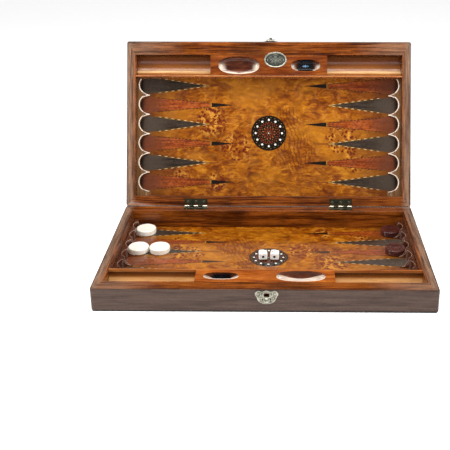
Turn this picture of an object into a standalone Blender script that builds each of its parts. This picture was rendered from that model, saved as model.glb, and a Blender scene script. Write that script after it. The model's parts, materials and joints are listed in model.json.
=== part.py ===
"""Folding wooden backgammon set, lying open with its lid leaning back.

The box is two equal halves hinged along a long edge. Each half is a mitred frame of four rails round
a floor panel. The floor carries a scalloped strip at each end, a rosette inlay between them, and along
the outer long side a storage row: a checker trough, a block with two oval wells, and another trough.
Frame: X along the hinges, Y from the front to the hinges, Z up, origin under the middle of the base.
"""

import math

import bmesh
import bpy
from mathutils import Euler, Matrix, Vector

MM = 0.001
GAP = 0.3 * MM

# The box
BOX_LENGTH = 490 * MM
HALF_DEPTH = 284 * MM
HALF_HEIGHT = 36 * MM
LID_OPEN_ANGLE = math.radians(112)
SIDE_RAIL = 15 * MM
FRONT_RAIL = 23 * MM
BACK_RAIL = 17.5 * MM
REBATE_SHARE = 0.4
FLOOR_TOP = 5.2 * MM
CORNER_RADIUS = 3.5 * MM
BOTTOM_RADIUS = 2.5 * MM
RIM_RADIUS = 1.4 * MM
INNER_EDGE_RADIUS = 1.2 * MM

# The play field and its scalloped ends
POINT_PITCH = 33.9 * MM
POINTS_PER_SIDE = 6
RECESS_RADIUS = 16.4 * MM
RECESS_INSET = 20 * MM
FIRST_POINT_FROM_DIVIDER = 12.3 * MM
STRIP_HEIGHT = 15 * MM
STRIP_TOP_WIDTH = 9.5 * MM
STRIP_FOOT_WIDTH = 22.5 * MM
STRIP_TOE = 0.8 * MM
ROSETTE_RADIUS = 30.8 * MM
ROSETTE_DEPTH = 1.2 * MM
ROSETTE_BEFORE_ROWS = 1.8 * MM
ROSETTE_X = {"base": 3 * MM, "lid": 0.0}

# The storage row
TROUGH_WIDTH = 34.9 * MM
TROUGH_INNER_END = 101 * MM
GUTTER_RADIUS = 17 * MM
GUTTER_AXIS_Z = 31.5 * MM
DIVIDER_THICKNESS = 2.3 * MM
BLOCK_DROP = 0.4 * MM
WELL_DEPTH = 12 * MM
LARGE_WELL = (51.5 * MM, 70 * MM, 30 * MM)
SMALL_WELL = (-63.5 * MM, 50 * MM, 20 * MM)
LARGE_WELL_FLOOR = 0.55
SMALL_WELL_FLOOR = 0.68
WELL_POWER = 2.5
WELL_LINING_LENGTH = 26 * MM
WELL_LINING_THICKNESS = 0.9 * MM
WELL_LINING_TOP = 2.5 * MM
BADGE_SIZE = (39 * MM, 27 * MM)
BADGE_THICKNESS = 1.1 * MM
BADGE_RECESS = 0.9 * MM
BADGE_X = -11.5 * MM
BADGE_OUTWARD = 9.5 * MM

# The hinges
HINGE_X = 124.5 * MM
HINGE_LENGTH = 38.5 * MM
HINGE_KNUCKLES = 5
LEAF_WIDTH = 13 * MM
LEAF_THICKNESS = 1.2 * MM
LEAF_BELOW_RIM = 0.3 * MM
KNUCKLE_RADIUS = 2.2 * MM
HINGE_PIN_RADIUS = 0.9 * MM
SCREW_SPACING = 14 * MM
SCREW_INSET = 7.5 * MM
SCREW_HEAD_RADIUS = 2.3 * MM
SCREW_SHANK_RADIUS = 1.1 * MM
SCREW_LENGTH = 9 * MM

# The latch
LATCH_X = 3 * MM
CATCH_THICKNESS = 1.0 * MM
CATCH_BOTTOM_Z = 14.0 * MM
CATCH_HEIGHT = 21.6 * MM
CATCH_EYES = (5.6 * MM, 21 * MM, 1.2 * MM)
CATCH_NAILS = (12.6 * MM, 30.4 * MM)
CATCH_SLOT = (7.5 * MM, 5.4 * MM)
CATCH_SLOT_Z = 28 * MM
CATCH_POCKET_DEPTH = 4.5 * MM
HASP_AXIS_OUT = 2.2 * MM
HASP_AXIS_BELOW_RIM = 2.4 * MM
HASP_KNUCKLE_RADIUS = 1.7 * MM
HASP_PIN_RADIUS = 0.6 * MM
HASP_KNUCKLES = 3
HASP_PLATE_THICKNESS = 0.8 * MM
HASP_WIDTH = 12 * MM
HASP_LENGTH = 17 * MM
HASP_FOLDED_BACK = math.radians(165)
TONGUE = (4.5 * MM, 3 * MM, 3.4 * MM)
LATCH_PLATE_WIDTH = 24 * MM
LATCH_PLATE_LENGTH = 15 * MM
LATCH_KNUCKLE_LENGTH = 15 * MM
LATCH_NAILS = (8.8 * MM, 5.5 * MM)
NAIL_HEAD_RADIUS = 1.5 * MM
NAIL_SHANK_RADIUS = 0.6 * MM
NAIL_LENGTH = 7 * MM

# The loose pieces
CHECKER_RADIUS = 16.5 * MM
CHECKER_THICKNESS = 9.6 * MM
DIE_SIZE = 14 * MM
DIE_ROUNDING = 3 * MM
DICE_SPOTS = ((-8.9 * MM, -5.6 * MM, 5), (9.8 * MM, -5.6 * MM, -4))

HALF_L = BOX_LENGTH / 2
HALF_D = HALF_DEPTH / 2
INNER_X = HALF_L - SIDE_RAIL
STORAGE_FRONT = -HALF_D + FRONT_RAIL
STORAGE_MID = STORAGE_FRONT + GAP + TROUGH_WIDTH / 2
DIVIDER_FRONT = STORAGE_FRONT + TROUGH_WIDTH + 2 * GAP
FIELD_FRONT = DIVIDER_FRONT + DIVIDER_THICKNESS
FIELD_BACK = HALF_D - BACK_RAIL
FIELD_MID = (FIELD_FRONT + FIELD_BACK) / 2
ROWS_MID = FIELD_FRONT + FIRST_POINT_FROM_DIVIDER + (POINTS_PER_SIDE - 1) / 2 * POINT_PITCH
ROSETTE_Y = ROWS_MID - ROSETTE_BEFORE_ROWS
LYING_Z = FLOOR_TOP + GAP
HINGE_AXIS = Vector((0, HALF_D + GAP, HALF_HEIGHT + GAP))
BLOCK_TOP = HALF_HEIGHT - BLOCK_DROP

MATERIALS = {
    "walnut": ((0.17, 0.085, 0.045), 0.28, 0.0),
    "burl": ((0.55, 0.26, 0.07), 0.2, 0.0),
    "trough_wood": ((0.36, 0.17, 0.07), 0.22, 0.0),
    "maple_edge": ((0.62, 0.4, 0.2), 0.3, 0.0),
    "marquetry": ((0.08, 0.04, 0.025), 0.2, 0.0),
    "black_plate": ((0.02, 0.02, 0.025), 0.35, 0.0),
    "pewter": ((0.42, 0.42, 0.36), 0.38, 1.0),
    "dark_bronze": ((0.1, 0.08, 0.05), 0.42, 1.0),
    "brass": ((0.75, 0.62, 0.36), 0.3, 1.0),
    "ivory": ((0.86, 0.8, 0.68), 0.25, 0.0),
    "dark_wood": ((0.12, 0.035, 0.02), 0.25, 0.0),
    "white_plastic": ((0.9, 0.9, 0.88), 0.2, 0.0),
}


def clear_scene():
    for obj in list(bpy.data.objects):
        bpy.data.objects.remove(obj)


def make_collection(name):
    collection = bpy.data.collections.new(name)
    bpy.context.scene.collection.children.link(collection)
    return collection


def make_materials():
    made = {}
    for name, (colour, roughness, metallic) in MATERIALS.items():
        material = bpy.data.materials.new(name)
        material.use_nodes = True
        shader = material.node_tree.nodes["Principled BSDF"]
        shader.inputs["Base Color"].default_value = (*colour, 1)
        shader.inputs["Roughness"].default_value = roughness
        shader.inputs["Metallic"].default_value = metallic
        made[name] = material
    return made


def make_frame(name, origin, rotation):
    """An empty that carries the pieces of one half; its children keep the half's own coordinates."""
    frame = bpy.data.objects.new(name, None)
    frame.location = origin
    frame.rotation_euler = rotation
    parts.objects.link(frame)
    return frame


def add_part(name, mesh, material, frame, place=None, smooth=False):
    obj = bpy.data.objects.new(name, mesh)
    parts.objects.link(obj)
    if not mesh.materials:
        mesh.materials.append(materials[material])
    if smooth:
        mesh.shade_smooth()
        mesh.set_sharp_from_angle(angle=math.radians(40))
    attach(obj, frame, place)
    return obj


def attach(obj, frame, place=None):
    obj.parent = frame
    obj.matrix_parent_inverse = Matrix.Translation(-Vector(frame["pivot"]))
    if place is not None:
        obj.matrix_basis = place


def add_cutter(name, mesh, frame, place=None):
    obj = bpy.data.objects.new(name, mesh)
    cutters.objects.link(obj)
    obj.hide_render = True
    obj.display_type = "WIRE"
    attach(obj, frame, place)
    return obj


def boolean(obj, operation, other):
    modifier = obj.modifiers.new(operation.lower() + "_" + other.name, "BOOLEAN")
    modifier.operation = operation
    modifier.solver = "EXACT"
    modifier.object = other


def shift(x=0.0, y=0.0, z=0.0):
    return Matrix.Translation((x, y, z))


def mesh_from(bm, name):
    mesh = bpy.data.meshes.new(name)
    bm.to_mesh(mesh)
    bm.free()
    return mesh


def add_box(bm, low, high):
    low, high = Vector(low), Vector(high)
    size = high - low
    scale = Matrix.Diagonal((*size, 1))
    bmesh.ops.create_cube(bm, size=1, matrix=Matrix.Translation((low + high) / 2) @ scale)


def box_mesh(name, low, high):
    bm = bmesh.new()
    add_box(bm, low, high)
    return mesh_from(bm, name)


def along_x():
    return Euler((0, math.pi / 2, 0)).to_matrix().to_4x4()


def along_y():
    return Euler((math.pi / 2, 0, 0)).to_matrix().to_4x4()


def add_cylinder(bm, radius, length, matrix, segments=24, top_radius=None):
    bmesh.ops.create_cone(
        bm,
        cap_ends=True,
        segments=segments,
        radius1=radius,
        radius2=radius if top_radius is None else top_radius,
        depth=length,
        matrix=matrix,
    )


def outline_mesh(name, points, thickness, smooth_steps=0):
    """A flat closed outline, extruded both ways along Z. With smooth_steps the points join as a curve."""
    curve = bpy.data.curves.new(name + "_outline", "CURVE")
    curve.dimensions = "2D"
    curve.fill_mode = "BOTH"
    curve.extrude = thickness / 2
    if smooth_steps:
        curve.resolution_u = smooth_steps
        spline = curve.splines.new("BEZIER")
        spline.bezier_points.add(len(points) - 1)
        for point, (x, y) in zip(spline.bezier_points, points):
            point.co = (x, y, 0)
            point.handle_left_type = "AUTO"
            point.handle_right_type = "AUTO"
    else:
        spline = curve.splines.new("POLY")
        spline.points.add(len(points) - 1)
        for point, (x, y) in zip(spline.points, points):
            point.co = (x, y, 0, 1)
    spline.use_cyclic_u = True
    holder = bpy.data.objects.new(name + "_outline", curve)
    bpy.context.scene.collection.objects.link(holder)
    depsgraph = bpy.context.evaluated_depsgraph_get()
    mesh = bpy.data.meshes.new_from_object(holder.evaluated_get(depsgraph))
    bpy.data.objects.remove(holder)
    mesh.name = name
    bm = bmesh.new()
    bm.from_mesh(mesh)
    bmesh.ops.remove_doubles(bm, verts=bm.verts, dist=0.001 * MM)
    bmesh.ops.recalc_face_normals(bm, faces=bm.faces)
    bm.to_mesh(mesh)
    bm.free()
    return mesh


def prism_mesh(name, profile, length):
    """A profile in the YZ plane, extruded along X about the middle."""
    mesh = outline_mesh(name, profile, length)
    mesh.transform(Matrix(((0, 0, 1, 0), (1, 0, 0, 0), (0, 1, 0, 0), (0, 0, 0, 1))))
    return mesh


def turned_part(name, profile, material, frame, place, steps=24):
    """A solid of revolution about Z. The profile runs down the outer side, from axis to axis."""
    mesh = bpy.data.meshes.new(name)
    edges = [(i, i + 1) for i in range(len(profile) - 1)]
    mesh.from_pydata([(radius, 0, z) for radius, z in profile], edges, [])
    obj = add_part(name, mesh, material, frame, place)
    screw = obj.modifiers.new("turn", "SCREW")
    screw.axis = "Z"
    screw.steps = steps
    screw.render_steps = steps
    screw.use_merge_vertices = True
    screw.merge_threshold = 0.00001
    screw.use_smooth_shade = True
    return obj


def arc(centre, radius, start, end, steps):
    """Points on a circle from one angle in degrees to another."""
    found = []
    for i in range(steps + 1):
        angle = math.radians(start + (end - start) * i / steps)
        found.append((centre[0] + radius * math.cos(angle), centre[1] + radius * math.sin(angle)))
    return found


def oval(length, width, count, power=2.0):
    """Points round a superellipse; a power of 2 gives a plain ellipse."""
    found = []
    for i in range(count):
        angle = 2 * math.pi * i / count
        c, s = math.cos(angle), math.sin(angle)
        x = length / 2 * math.copysign(abs(c) ** (2 / power), c)
        y = width / 2 * math.copysign(abs(s) ** (2 / power), s)
        found.append((x, y))
    return found


def side_name(frame, x):
    """Left or right as seen from the front of the open box."""
    return "left" if x * frame["mirror"] < 0 else "right"


# --- the frame of one half ---------------------------------------------------------------------


def envelope_cutter(prefix, frame):
    """The outer shape of a half, with its rounded edges; the rails are trimmed to it."""
    bm = bmesh.new()
    add_box(bm, (-HALF_L, -HALF_D, 0), (HALF_L, HALF_D, HALF_HEIGHT))
    upright = [e for e in bm.edges if abs(e.verts[0].co.z - e.verts[1].co.z) > HALF_HEIGHT / 2]
    bmesh.ops.bevel(bm, geom=upright, offset=CORNER_RADIUS, segments=4, profile=0.5, affect="EDGES")
    for level, radius, segments in ((0, BOTTOM_RADIUS, 3), (HALF_HEIGHT, RIM_RADIUS, 2)):
        loop = [e for e in bm.edges if all(abs(v.co.z - level) < 0.01 * MM for v in e.verts)]
        bmesh.ops.bevel(bm, geom=loop, offset=radius, segments=segments, profile=0.5, affect="EDGES")
    return add_cutter(prefix + "_envelope", mesh_from(bm, prefix + "_envelope"), frame)


def rail_profile(thickness):
    """Across a rail: y from the outer face inward, z up, with a rebate for the floor panel."""
    over = 1 * MM
    rebate = thickness * REBATE_SHARE
    round_centre = (thickness - INNER_EDGE_RADIUS, HALF_HEIGHT - INNER_EDGE_RADIUS)
    profile = [(-over, -over), (thickness - rebate, -over)]
    profile += [(thickness - rebate, FLOOR_TOP + GAP), (thickness, FLOOR_TOP + GAP)]
    profile += arc(round_centre, INNER_EDGE_RADIUS, 0, 90, 3)
    profile += [(thickness - INNER_EDGE_RADIUS, HALF_HEIGHT + over), (-over, HALF_HEIGHT + over)]
    return profile


def mitred_rail(name, thickness, length, start_slope, end_slope):
    """A rail whose ends slope inward by the given run along X for each step across the rail."""
    mesh = prism_mesh(name, rail_profile(thickness), length)
    for vertex in mesh.vertices:
        slope = start_slope if vertex.co.x < 0 else end_slope
        inward = vertex.co.y * slope + GAP / 2 * math.hypot(1, slope)
        vertex.co.x -= inward * math.copysign(1, vertex.co.x)
    return mesh


def build_rails(prefix, frame):
    """The four rails, each turned so that its own Y points into the box."""
    envelope = envelope_cutter(prefix, frame)
    left, right = -HALF_L, HALF_L
    plan = (
        ("front_rail", FRONT_RAIL, BOX_LENGTH, 0, (0, -HALF_D), SIDE_RAIL, SIDE_RAIL),
        ("back_rail", BACK_RAIL, BOX_LENGTH, 180, (0, HALF_D), SIDE_RAIL, SIDE_RAIL),
        (side_name(frame, left) + "_rail", SIDE_RAIL, HALF_DEPTH, -90, (left, 0), BACK_RAIL, FRONT_RAIL),
        (side_name(frame, right) + "_rail", SIDE_RAIL, HALF_DEPTH, 90, (right, 0), FRONT_RAIL, BACK_RAIL),
    )
    rails = {}
    for name, thickness, length, turn, (x, y), start_neighbour, end_neighbour in plan:
        mesh = mitred_rail(name, thickness, length, start_neighbour / thickness, end_neighbour / thickness)
        place = shift(x, y) @ Matrix.Rotation(math.radians(turn), 4, "Z")
        rail = add_part(prefix + "_" + name, mesh, "walnut", frame, place)
        boolean(rail, "INTERSECT", envelope)
        rails[name] = rail
    return rails


def build_floor(prefix, frame):
    side, front, back = (t * REBATE_SHARE - GAP for t in (SIDE_RAIL, FRONT_RAIL, BACK_RAIL))
    low = (-INNER_X - side, STORAGE_FRONT - front, 0)
    high = (INNER_X + side, FIELD_BACK + back, FLOOR_TOP)
    name = prefix + "_floor_panel"
    panel = add_part(name, box_mesh(name, low, high), "burl", frame)
    bm = bmesh.new()
    middle = shift(ROSETTE_X[prefix], ROSETTE_Y, FLOOR_TOP)
    add_cylinder(bm, ROSETTE_RADIUS + GAP, 2 * ROSETTE_DEPTH, middle, segments=40)
    boolean(panel, "DIFFERENCE", add_cutter(name + "_recess", mesh_from(bm, name + "_recess"), frame))

    bm = bmesh.new()
    thickness = ROSETTE_DEPTH - GAP
    add_cylinder(bm, ROSETTE_RADIUS, thickness, shift(), segments=40)
    mesh = mesh_from(bm, prefix + "_rosette")
    place = shift(ROSETTE_X[prefix], ROSETTE_Y, FLOOR_TOP - thickness / 2)
    add_part(prefix + "_rosette", mesh, "marquetry", frame, place, smooth=True)


def strip_profile():
    """Across a scalloped strip: y from the side rail into the field, z up, with a hollow front."""
    foot, top = LYING_Z, FLOOR_TOP + STRIP_HEIGHT
    steps = 4
    profile = [(GAP, foot), (STRIP_FOOT_WIDTH, foot)]
    for i in range(steps + 1):
        angle = math.radians(90 * (1 - i / steps))
        y = STRIP_FOOT_WIDTH - (STRIP_FOOT_WIDTH - STRIP_TOP_WIDTH) * math.cos(angle)
        z = top - (top - foot - STRIP_TOE) * math.sin(angle)
        profile.append((y, z))
    profile.append((GAP, top))
    return profile


def build_strips(prefix, frame):
    """The scalloped strip at each end of the field, with one recess for each point."""
    length = FIELD_BACK - FIELD_FRONT - 2 * GAP
    for x, turn in ((-INNER_X, -90), (INNER_X, 90)):
        name = prefix + "_" + side_name(frame, x) + "_scalloped_strip"
        place = shift(x, FIELD_MID) @ Matrix.Rotation(math.radians(turn), 4, "Z")
        strip = add_part(name, prism_mesh(name, strip_profile(), length), "walnut", frame, place)
        bm = bmesh.new()
        for k in range(POINTS_PER_SIDE):
            along = (k - (POINTS_PER_SIDE - 1) / 2) * POINT_PITCH
            spot = shift(x - math.copysign(RECESS_INSET, x), ROWS_MID + along, HALF_HEIGHT / 2)
            add_cylinder(bm, RECESS_RADIUS, 1.2 * HALF_HEIGHT, spot, segments=28)
        recesses = add_cutter(name + "_recesses", mesh_from(bm, name + "_recesses"), frame)
        boolean(strip, "DIFFERENCE", recesses)


# --- the storage row ---------------------------------------------------------------------------


def build_troughs(prefix, frame):
    """The two checker troughs, each a board with a round-bottomed gutter along it."""
    length = INNER_X - TROUGH_INNER_END - 2 * GAP
    half_width = TROUGH_WIDTH / 2
    profile = [(-half_width, LYING_Z), (half_width, LYING_Z), (half_width, GUTTER_AXIS_Z)]
    profile += arc((0, GUTTER_AXIS_Z), GUTTER_RADIUS, 0, -180, 16)
    profile.append((-half_width, GUTTER_AXIS_Z))
    for sign in (-1, 1):
        middle = sign * (INNER_X + TROUGH_INNER_END) / 2
        name = prefix + "_" + side_name(frame, middle) + "_trough"
        mesh = prism_mesh(name, profile, length)
        add_part(name, mesh, "trough_wood", frame, shift(middle, STORAGE_MID))


def build_divider(prefix, frame):
    name = prefix + "_divider"
    bm = bmesh.new()
    low = (-INNER_X + GAP, DIVIDER_FRONT, LYING_Z)
    high = (INNER_X - GAP, FIELD_FRONT, HALF_HEIGHT - GAP)
    add_box(bm, low, high)
    top = [e for e in bm.edges if all(v.co.z > FLOOR_TOP + STRIP_HEIGHT for v in e.verts)]
    long_edges = [e for e in top if abs(e.verts[0].co.x - e.verts[1].co.x) > INNER_X]
    radius = 0.6 * MM
    bmesh.ops.bevel(bm, geom=long_edges, offset=radius, segments=2, profile=0.5, affect="EDGES")
    add_part(name, mesh_from(bm, name), "maple_edge", frame)


def well_rings(floor_share):
    """Depths of a finger well and the share of its rim oval at each: upright, then rounding in."""
    steps, upright = 5, 0.25
    rings = [(-upright * WELL_DEPTH, 1.0)]
    for i in range(1, steps + 1):
        angle = math.pi / 2 * i / steps
        depth = WELL_DEPTH * (upright + (1 - upright) * math.sin(angle))
        rings.append((-depth, floor_share + (1 - floor_share) * math.cos(angle)))
    return rings


def well_mesh(name, length, width, floor_share):
    """The hollow of an oval finger well, with a flat floor."""
    count = 28
    rings = [(BLOCK_DROP + 1 * MM, 1.0)] + well_rings(floor_share)
    bm = bmesh.new()
    loops = []
    for z, share in rings:
        points = oval(length * share, width * share, count, WELL_POWER)
        loops.append([bm.verts.new((x, y, z)) for x, y in points])
    bm.faces.new(loops[0])
    bm.faces.new(reversed(loops[-1]))
    for upper, lower in zip(loops, loops[1:]):
        for i in range(count):
            j = (i + 1) % count
            bm.faces.new((upper[i], lower[i], lower[j], upper[j]))
    bmesh.ops.recalc_face_normals(bm, faces=bm.faces)
    return mesh_from(bm, name)


def lining_profile():
    """Across the dark lining of the small well: a thin trough that lies just inside its hollow."""
    _, length, width = SMALL_WELL
    reach = (WELL_LINING_LENGTH / 2 + GAP) / (length / 2)
    floor, wall = GAP - WELL_DEPTH, WELL_LINING_THICKNESS
    outer = []
    for z, share in [(-WELL_LINING_TOP, 1.0)] + well_rings(SMALL_WELL_FLOOR):
        half_width = width / 2 * share * (1 - (reach / share) ** WELL_POWER) ** (1 / WELL_POWER)
        outer.append((half_width - 2 * GAP, max(z, floor)))
    inner = [(y - wall, max(z, floor + wall)) for y, z in outer[:-1]]
    outside = outer + [(-y, z) for y, z in reversed(outer)]
    return outside + [(-y, z) for y, z in inner] + [(y, z) for y, z in reversed(inner)]


def build_storage_block(prefix, frame):
    """The block between the troughs, its two oval wells, and the dark lining of the small one."""
    name = prefix + "_storage_block"
    half_width = TROUGH_WIDTH / 2
    half_length = TROUGH_INNER_END - GAP
    low = (-half_length, STORAGE_MID - half_width, LYING_Z)
    high = (half_length, STORAGE_MID + half_width, BLOCK_TOP)
    block = add_part(name, box_mesh(name, low, high), "walnut", frame)
    wells = (("large", LARGE_WELL, LARGE_WELL_FLOOR), ("small", SMALL_WELL, SMALL_WELL_FLOOR))
    for label, (x, length, width), floor_share in wells:
        mesh = well_mesh(name + "_" + label, length, width, floor_share)
        well = add_cutter(name + "_" + label + "_well", mesh, frame, shift(x, STORAGE_MID, BLOCK_TOP))
        boolean(block, "DIFFERENCE", well)

    name = prefix + "_well_plate"
    mesh = prism_mesh(name, lining_profile(), WELL_LINING_LENGTH)
    add_part(name, mesh, "black_plate", frame, shift(SMALL_WELL[0], STORAGE_MID, BLOCK_TOP))
    return block


def build_badge(frame, block, front_rail):
    """The oval metal badge let into the lid, half on the block and half on the rail behind it."""
    length, width = BADGE_SIZE
    recess = outline_mesh("badge_recess", oval(length + 2 * GAP, width + 2 * GAP, 32), 2 * BADGE_RECESS)
    middle_y = STORAGE_MID - BADGE_OUTWARD
    seat = add_cutter("badge_recess", recess, frame, shift(BADGE_X, middle_y, BLOCK_TOP))
    boolean(block, "DIFFERENCE", seat)
    boolean(front_rail, "DIFFERENCE", seat)
    mesh = outline_mesh("lid_badge", oval(length, width, 32), BADGE_THICKNESS)
    level = BLOCK_TOP - BADGE_RECESS + GAP + BADGE_THICKNESS / 2
    add_part("lid_badge", mesh, "pewter", frame, shift(BADGE_X, middle_y, level), smooth=True)


def build_half(prefix, frame):
    rails = build_rails(prefix, frame)
    build_floor(prefix, frame)
    build_strips(prefix, frame)
    build_troughs(prefix, frame)
    build_divider(prefix, frame)
    block = build_storage_block(prefix, frame)
    return rails, block


# --- hinges ------------------------------------------------------------------------------------


def knuckle_tabs(name, length, knuckles, own, radius, low, high):
    """Tabs that curl round the X axis, one at each knuckle that this leaf owns."""
    pitch = length / knuckles
    inset = 0.1 * MM
    low, high = max(low + inset, -0.95 * radius), high - inset
    start = math.degrees(math.asin(high / radius))
    end = -math.degrees(math.asin(low / radius))
    reach = -radius - 2 * MM
    profile = [(reach, low)]
    profile += arc((0, 0), radius, 180 + end, 540 - start, 10)
    profile.append((reach, high))
    bm = bmesh.new()
    for k in own:
        middle = (k + 0.5) * pitch - length / 2
        tab = prism_mesh(name + "_tab", profile, pitch - GAP)
        tab.transform(shift(middle))
        bm.from_mesh(tab)
        bpy.data.meshes.remove(tab)
    return mesh_from(bm, name + "_tabs")


def knuckled_leaf(name, size, knuckles, own, radius, bore, level, material, frame, place, corner):
    """A leaf on the -Y side of the X axis, with knuckles round that axis and a bore for the pin."""
    length, width, thickness, knuckle_length = size
    low, high = level - thickness / 2, level + thickness / 2
    bm = bmesh.new()
    add_box(bm, (-length / 2, -width, low), (length / 2, -radius - 1.4 * GAP, high))
    far = [e for e in bm.edges if all(v.co.y < -width * 0.9 for v in e.verts)]
    far = [e for e in far if abs(e.verts[0].co.z - e.verts[1].co.z) > thickness / 2]
    bmesh.ops.bevel(bm, geom=far, offset=corner, segments=4, profile=0.5, affect="EDGES")
    leaf = add_part(name, mesh_from(bm, name), material, frame, place)
    tabs = knuckle_tabs(name, knuckle_length, knuckles, own, radius, low, high)
    boolean(leaf, "UNION", add_cutter(name + "_tabs", tabs, frame, place))
    bm = bmesh.new()
    add_cylinder(bm, bore, 2 * length, along_x(), segments=10)
    boolean(leaf, "DIFFERENCE", add_cutter(name + "_bore", mesh_from(bm, name + "_bore"), frame, place))
    return leaf


def hinge_screw_spots(x):
    """Where the screws of the hinge at x stand, in the half's own coordinates."""
    return [(x + k * SCREW_SPACING, HINGE_AXIS.y - SCREW_INSET) for k in (-1, 0, 1)]


def build_screw(name, frame, x, y, top):
    head = LEAF_THICKNESS
    tip = SCREW_LENGTH + 1 * MM
    profile = [(0, 0), (SCREW_HEAD_RADIUS, 0), (SCREW_SHANK_RADIUS, -head)]
    profile += [(SCREW_SHANK_RADIUS, -SCREW_LENGTH), (0, -tip)]
    turned_part(name, profile, "brass", frame, shift(x, y, top), steps=12)


def cut_hinge_seats(prefix, frame, back_rail):
    """Mortises for the leaves, round notches for the knuckles and pilot holes for the screws."""
    half = HINGE_LENGTH / 2 + GAP
    mortise, notch, pilots = bmesh.new(), bmesh.new(), bmesh.new()
    floor = HALF_HEIGHT - LEAF_BELOW_RIM - LEAF_THICKNESS - GAP
    for x in (-HINGE_X, HINGE_X):
        low = (x - half, HINGE_AXIS.y - LEAF_WIDTH - GAP, floor)
        high = (x + half, HALF_D + 5 * MM, HALF_HEIGHT + 5 * MM)
        add_box(mortise, low, high)
        spot = Matrix.Translation((x, HINGE_AXIS.y, HINGE_AXIS.z)) @ along_x()
        add_cylinder(notch, KNUCKLE_RADIUS + 1.5 * GAP, 2 * half, spot, segments=14)
        for sx, sy in hinge_screw_spots(x):
            depth = SCREW_LENGTH + 2 * MM
            spot = shift(sx, sy, floor + GAP - depth / 2)
            add_cylinder(pilots, SCREW_SHANK_RADIUS + GAP, depth, spot, segments=10)
    for label, bm in (("mortise", mortise), ("notch", notch), ("pilots", pilots)):
        name = prefix + "_hinge_" + label
        boolean(back_rail, "DIFFERENCE", add_cutter(name, mesh_from(bm, name), frame))


def build_leaves(prefix, frame, own):
    """The two leaves on one half, and three countersunk screws through each."""
    level = -HINGE_AXIS.z + HALF_HEIGHT - LEAF_BELOW_RIM - LEAF_THICKNESS / 2
    size = (HINGE_LENGTH, LEAF_WIDTH, LEAF_THICKNESS, HINGE_LENGTH)
    for x in (-HINGE_X, HINGE_X):
        side = side_name(frame, x)
        name = side + "_hinge_" + prefix + "_leaf"
        place = Matrix.Translation((x, HINGE_AXIS.y, HINGE_AXIS.z))
        bore = HINGE_PIN_RADIUS + GAP
        leaf = knuckled_leaf(
            name, size, HINGE_KNUCKLES, own, KNUCKLE_RADIUS, bore, level, "dark_bronze", frame, place, 1 * MM
        )
        top = HALF_HEIGHT - LEAF_BELOW_RIM
        sinks = bmesh.new()
        for number, (sx, sy) in enumerate(hinge_screw_spots(x), 1):
            spot = shift(sx, sy, top - LEAF_THICKNESS / 2)
            slope = SCREW_HEAD_RADIUS - SCREW_SHANK_RADIUS
            wide = SCREW_HEAD_RADIUS + 1.2 * GAP
            add_cylinder(sinks, wide - slope, LEAF_THICKNESS * 1.02, spot, 12, top_radius=wide)
            number = number if frame["mirror"] > 0 else 4 - number
            screw_name = f"{side}_hinge_{prefix}_screw_{number}"
            build_screw(screw_name, frame, sx, sy, top)
        sinks = add_cutter(name + "_countersinks", mesh_from(sinks, name + "_countersinks"), frame)
        boolean(leaf, "DIFFERENCE", sinks)


def build_hinges(base_frame, lid_frame, base_rails, lid_rails):
    every_knuckle = range(HINGE_KNUCKLES)
    cut_hinge_seats("base", base_frame, base_rails["back_rail"])
    cut_hinge_seats("lid", lid_frame, lid_rails["back_rail"])
    build_leaves("base", base_frame, [k for k in every_knuckle if k % 2 == 0])
    build_leaves("lid", lid_frame, [k for k in every_knuckle if k % 2 == 1])
    for x in (-HINGE_X, HINGE_X):
        name = side_name(base_frame, x) + "_hinge_pin"
        bm = bmesh.new()
        add_cylinder(bm, HINGE_PIN_RADIUS, HINGE_LENGTH, along_x(), segments=10)
        place = Matrix.Translation((x, HINGE_AXIS.y, HINGE_AXIS.z))
        add_part(name, mesh_from(bm, name), "brass", base_frame, place, smooth=True)


# --- latch -------------------------------------------------------------------------------------


def outward(x, z, out):
    """Placement on the front face of a half: local X along it, local Y up it, local Z out of it."""
    return shift(x, -HALF_D - out, z) @ along_y()


def catch_outline():
    """Half of the shield, from the bottom up its right side, then mirrored down the left."""
    right = [(8, 0.07), (13, 0.3), (14.2, 0.51), (16.9, 0.75), (13.2, 0.97), (6.5, 0.92)]
    points = [(0, 0)] + right + [(0, 1)] + [(-x, y) for x, y in reversed(right)]
    return [(x * MM, y * CATCH_HEIGHT) for x, y in points]


def build_nail(name, frame, x, z, out):
    """A round-headed nail driven into the front face, its head just clear of the plate."""
    head = 0.8 * MM
    profile = [(0, head), (NAIL_HEAD_RADIUS * 0.6, head * 0.85), (NAIL_HEAD_RADIUS, 0)]
    profile += [(NAIL_SHANK_RADIUS, 0), (NAIL_SHANK_RADIUS, -NAIL_LENGTH + 1 * MM), (0, -NAIL_LENGTH)]
    turned_part(name, profile, "pewter", frame, outward(x, z, out), steps=10)


def drill_front(name, obj, frame, spots, radius, depth):
    """Round holes through the front face of a half and whatever plate lies on it."""
    bm = bmesh.new()
    for x, z in spots:
        add_cylinder(bm, radius, 2 * depth, outward(x, z, 0), segments=12)
    boolean(obj, "DIFFERENCE", add_cutter(name, mesh_from(bm, name), frame))


def drill_for_nails(frame, spots, bodies):
    radius, depth = NAIL_SHANK_RADIUS + GAP, NAIL_LENGTH + 1 * MM
    for obj in bodies:
        drill_front(obj.name + "_nail_holes", obj, frame, spots, radius, depth)


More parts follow.
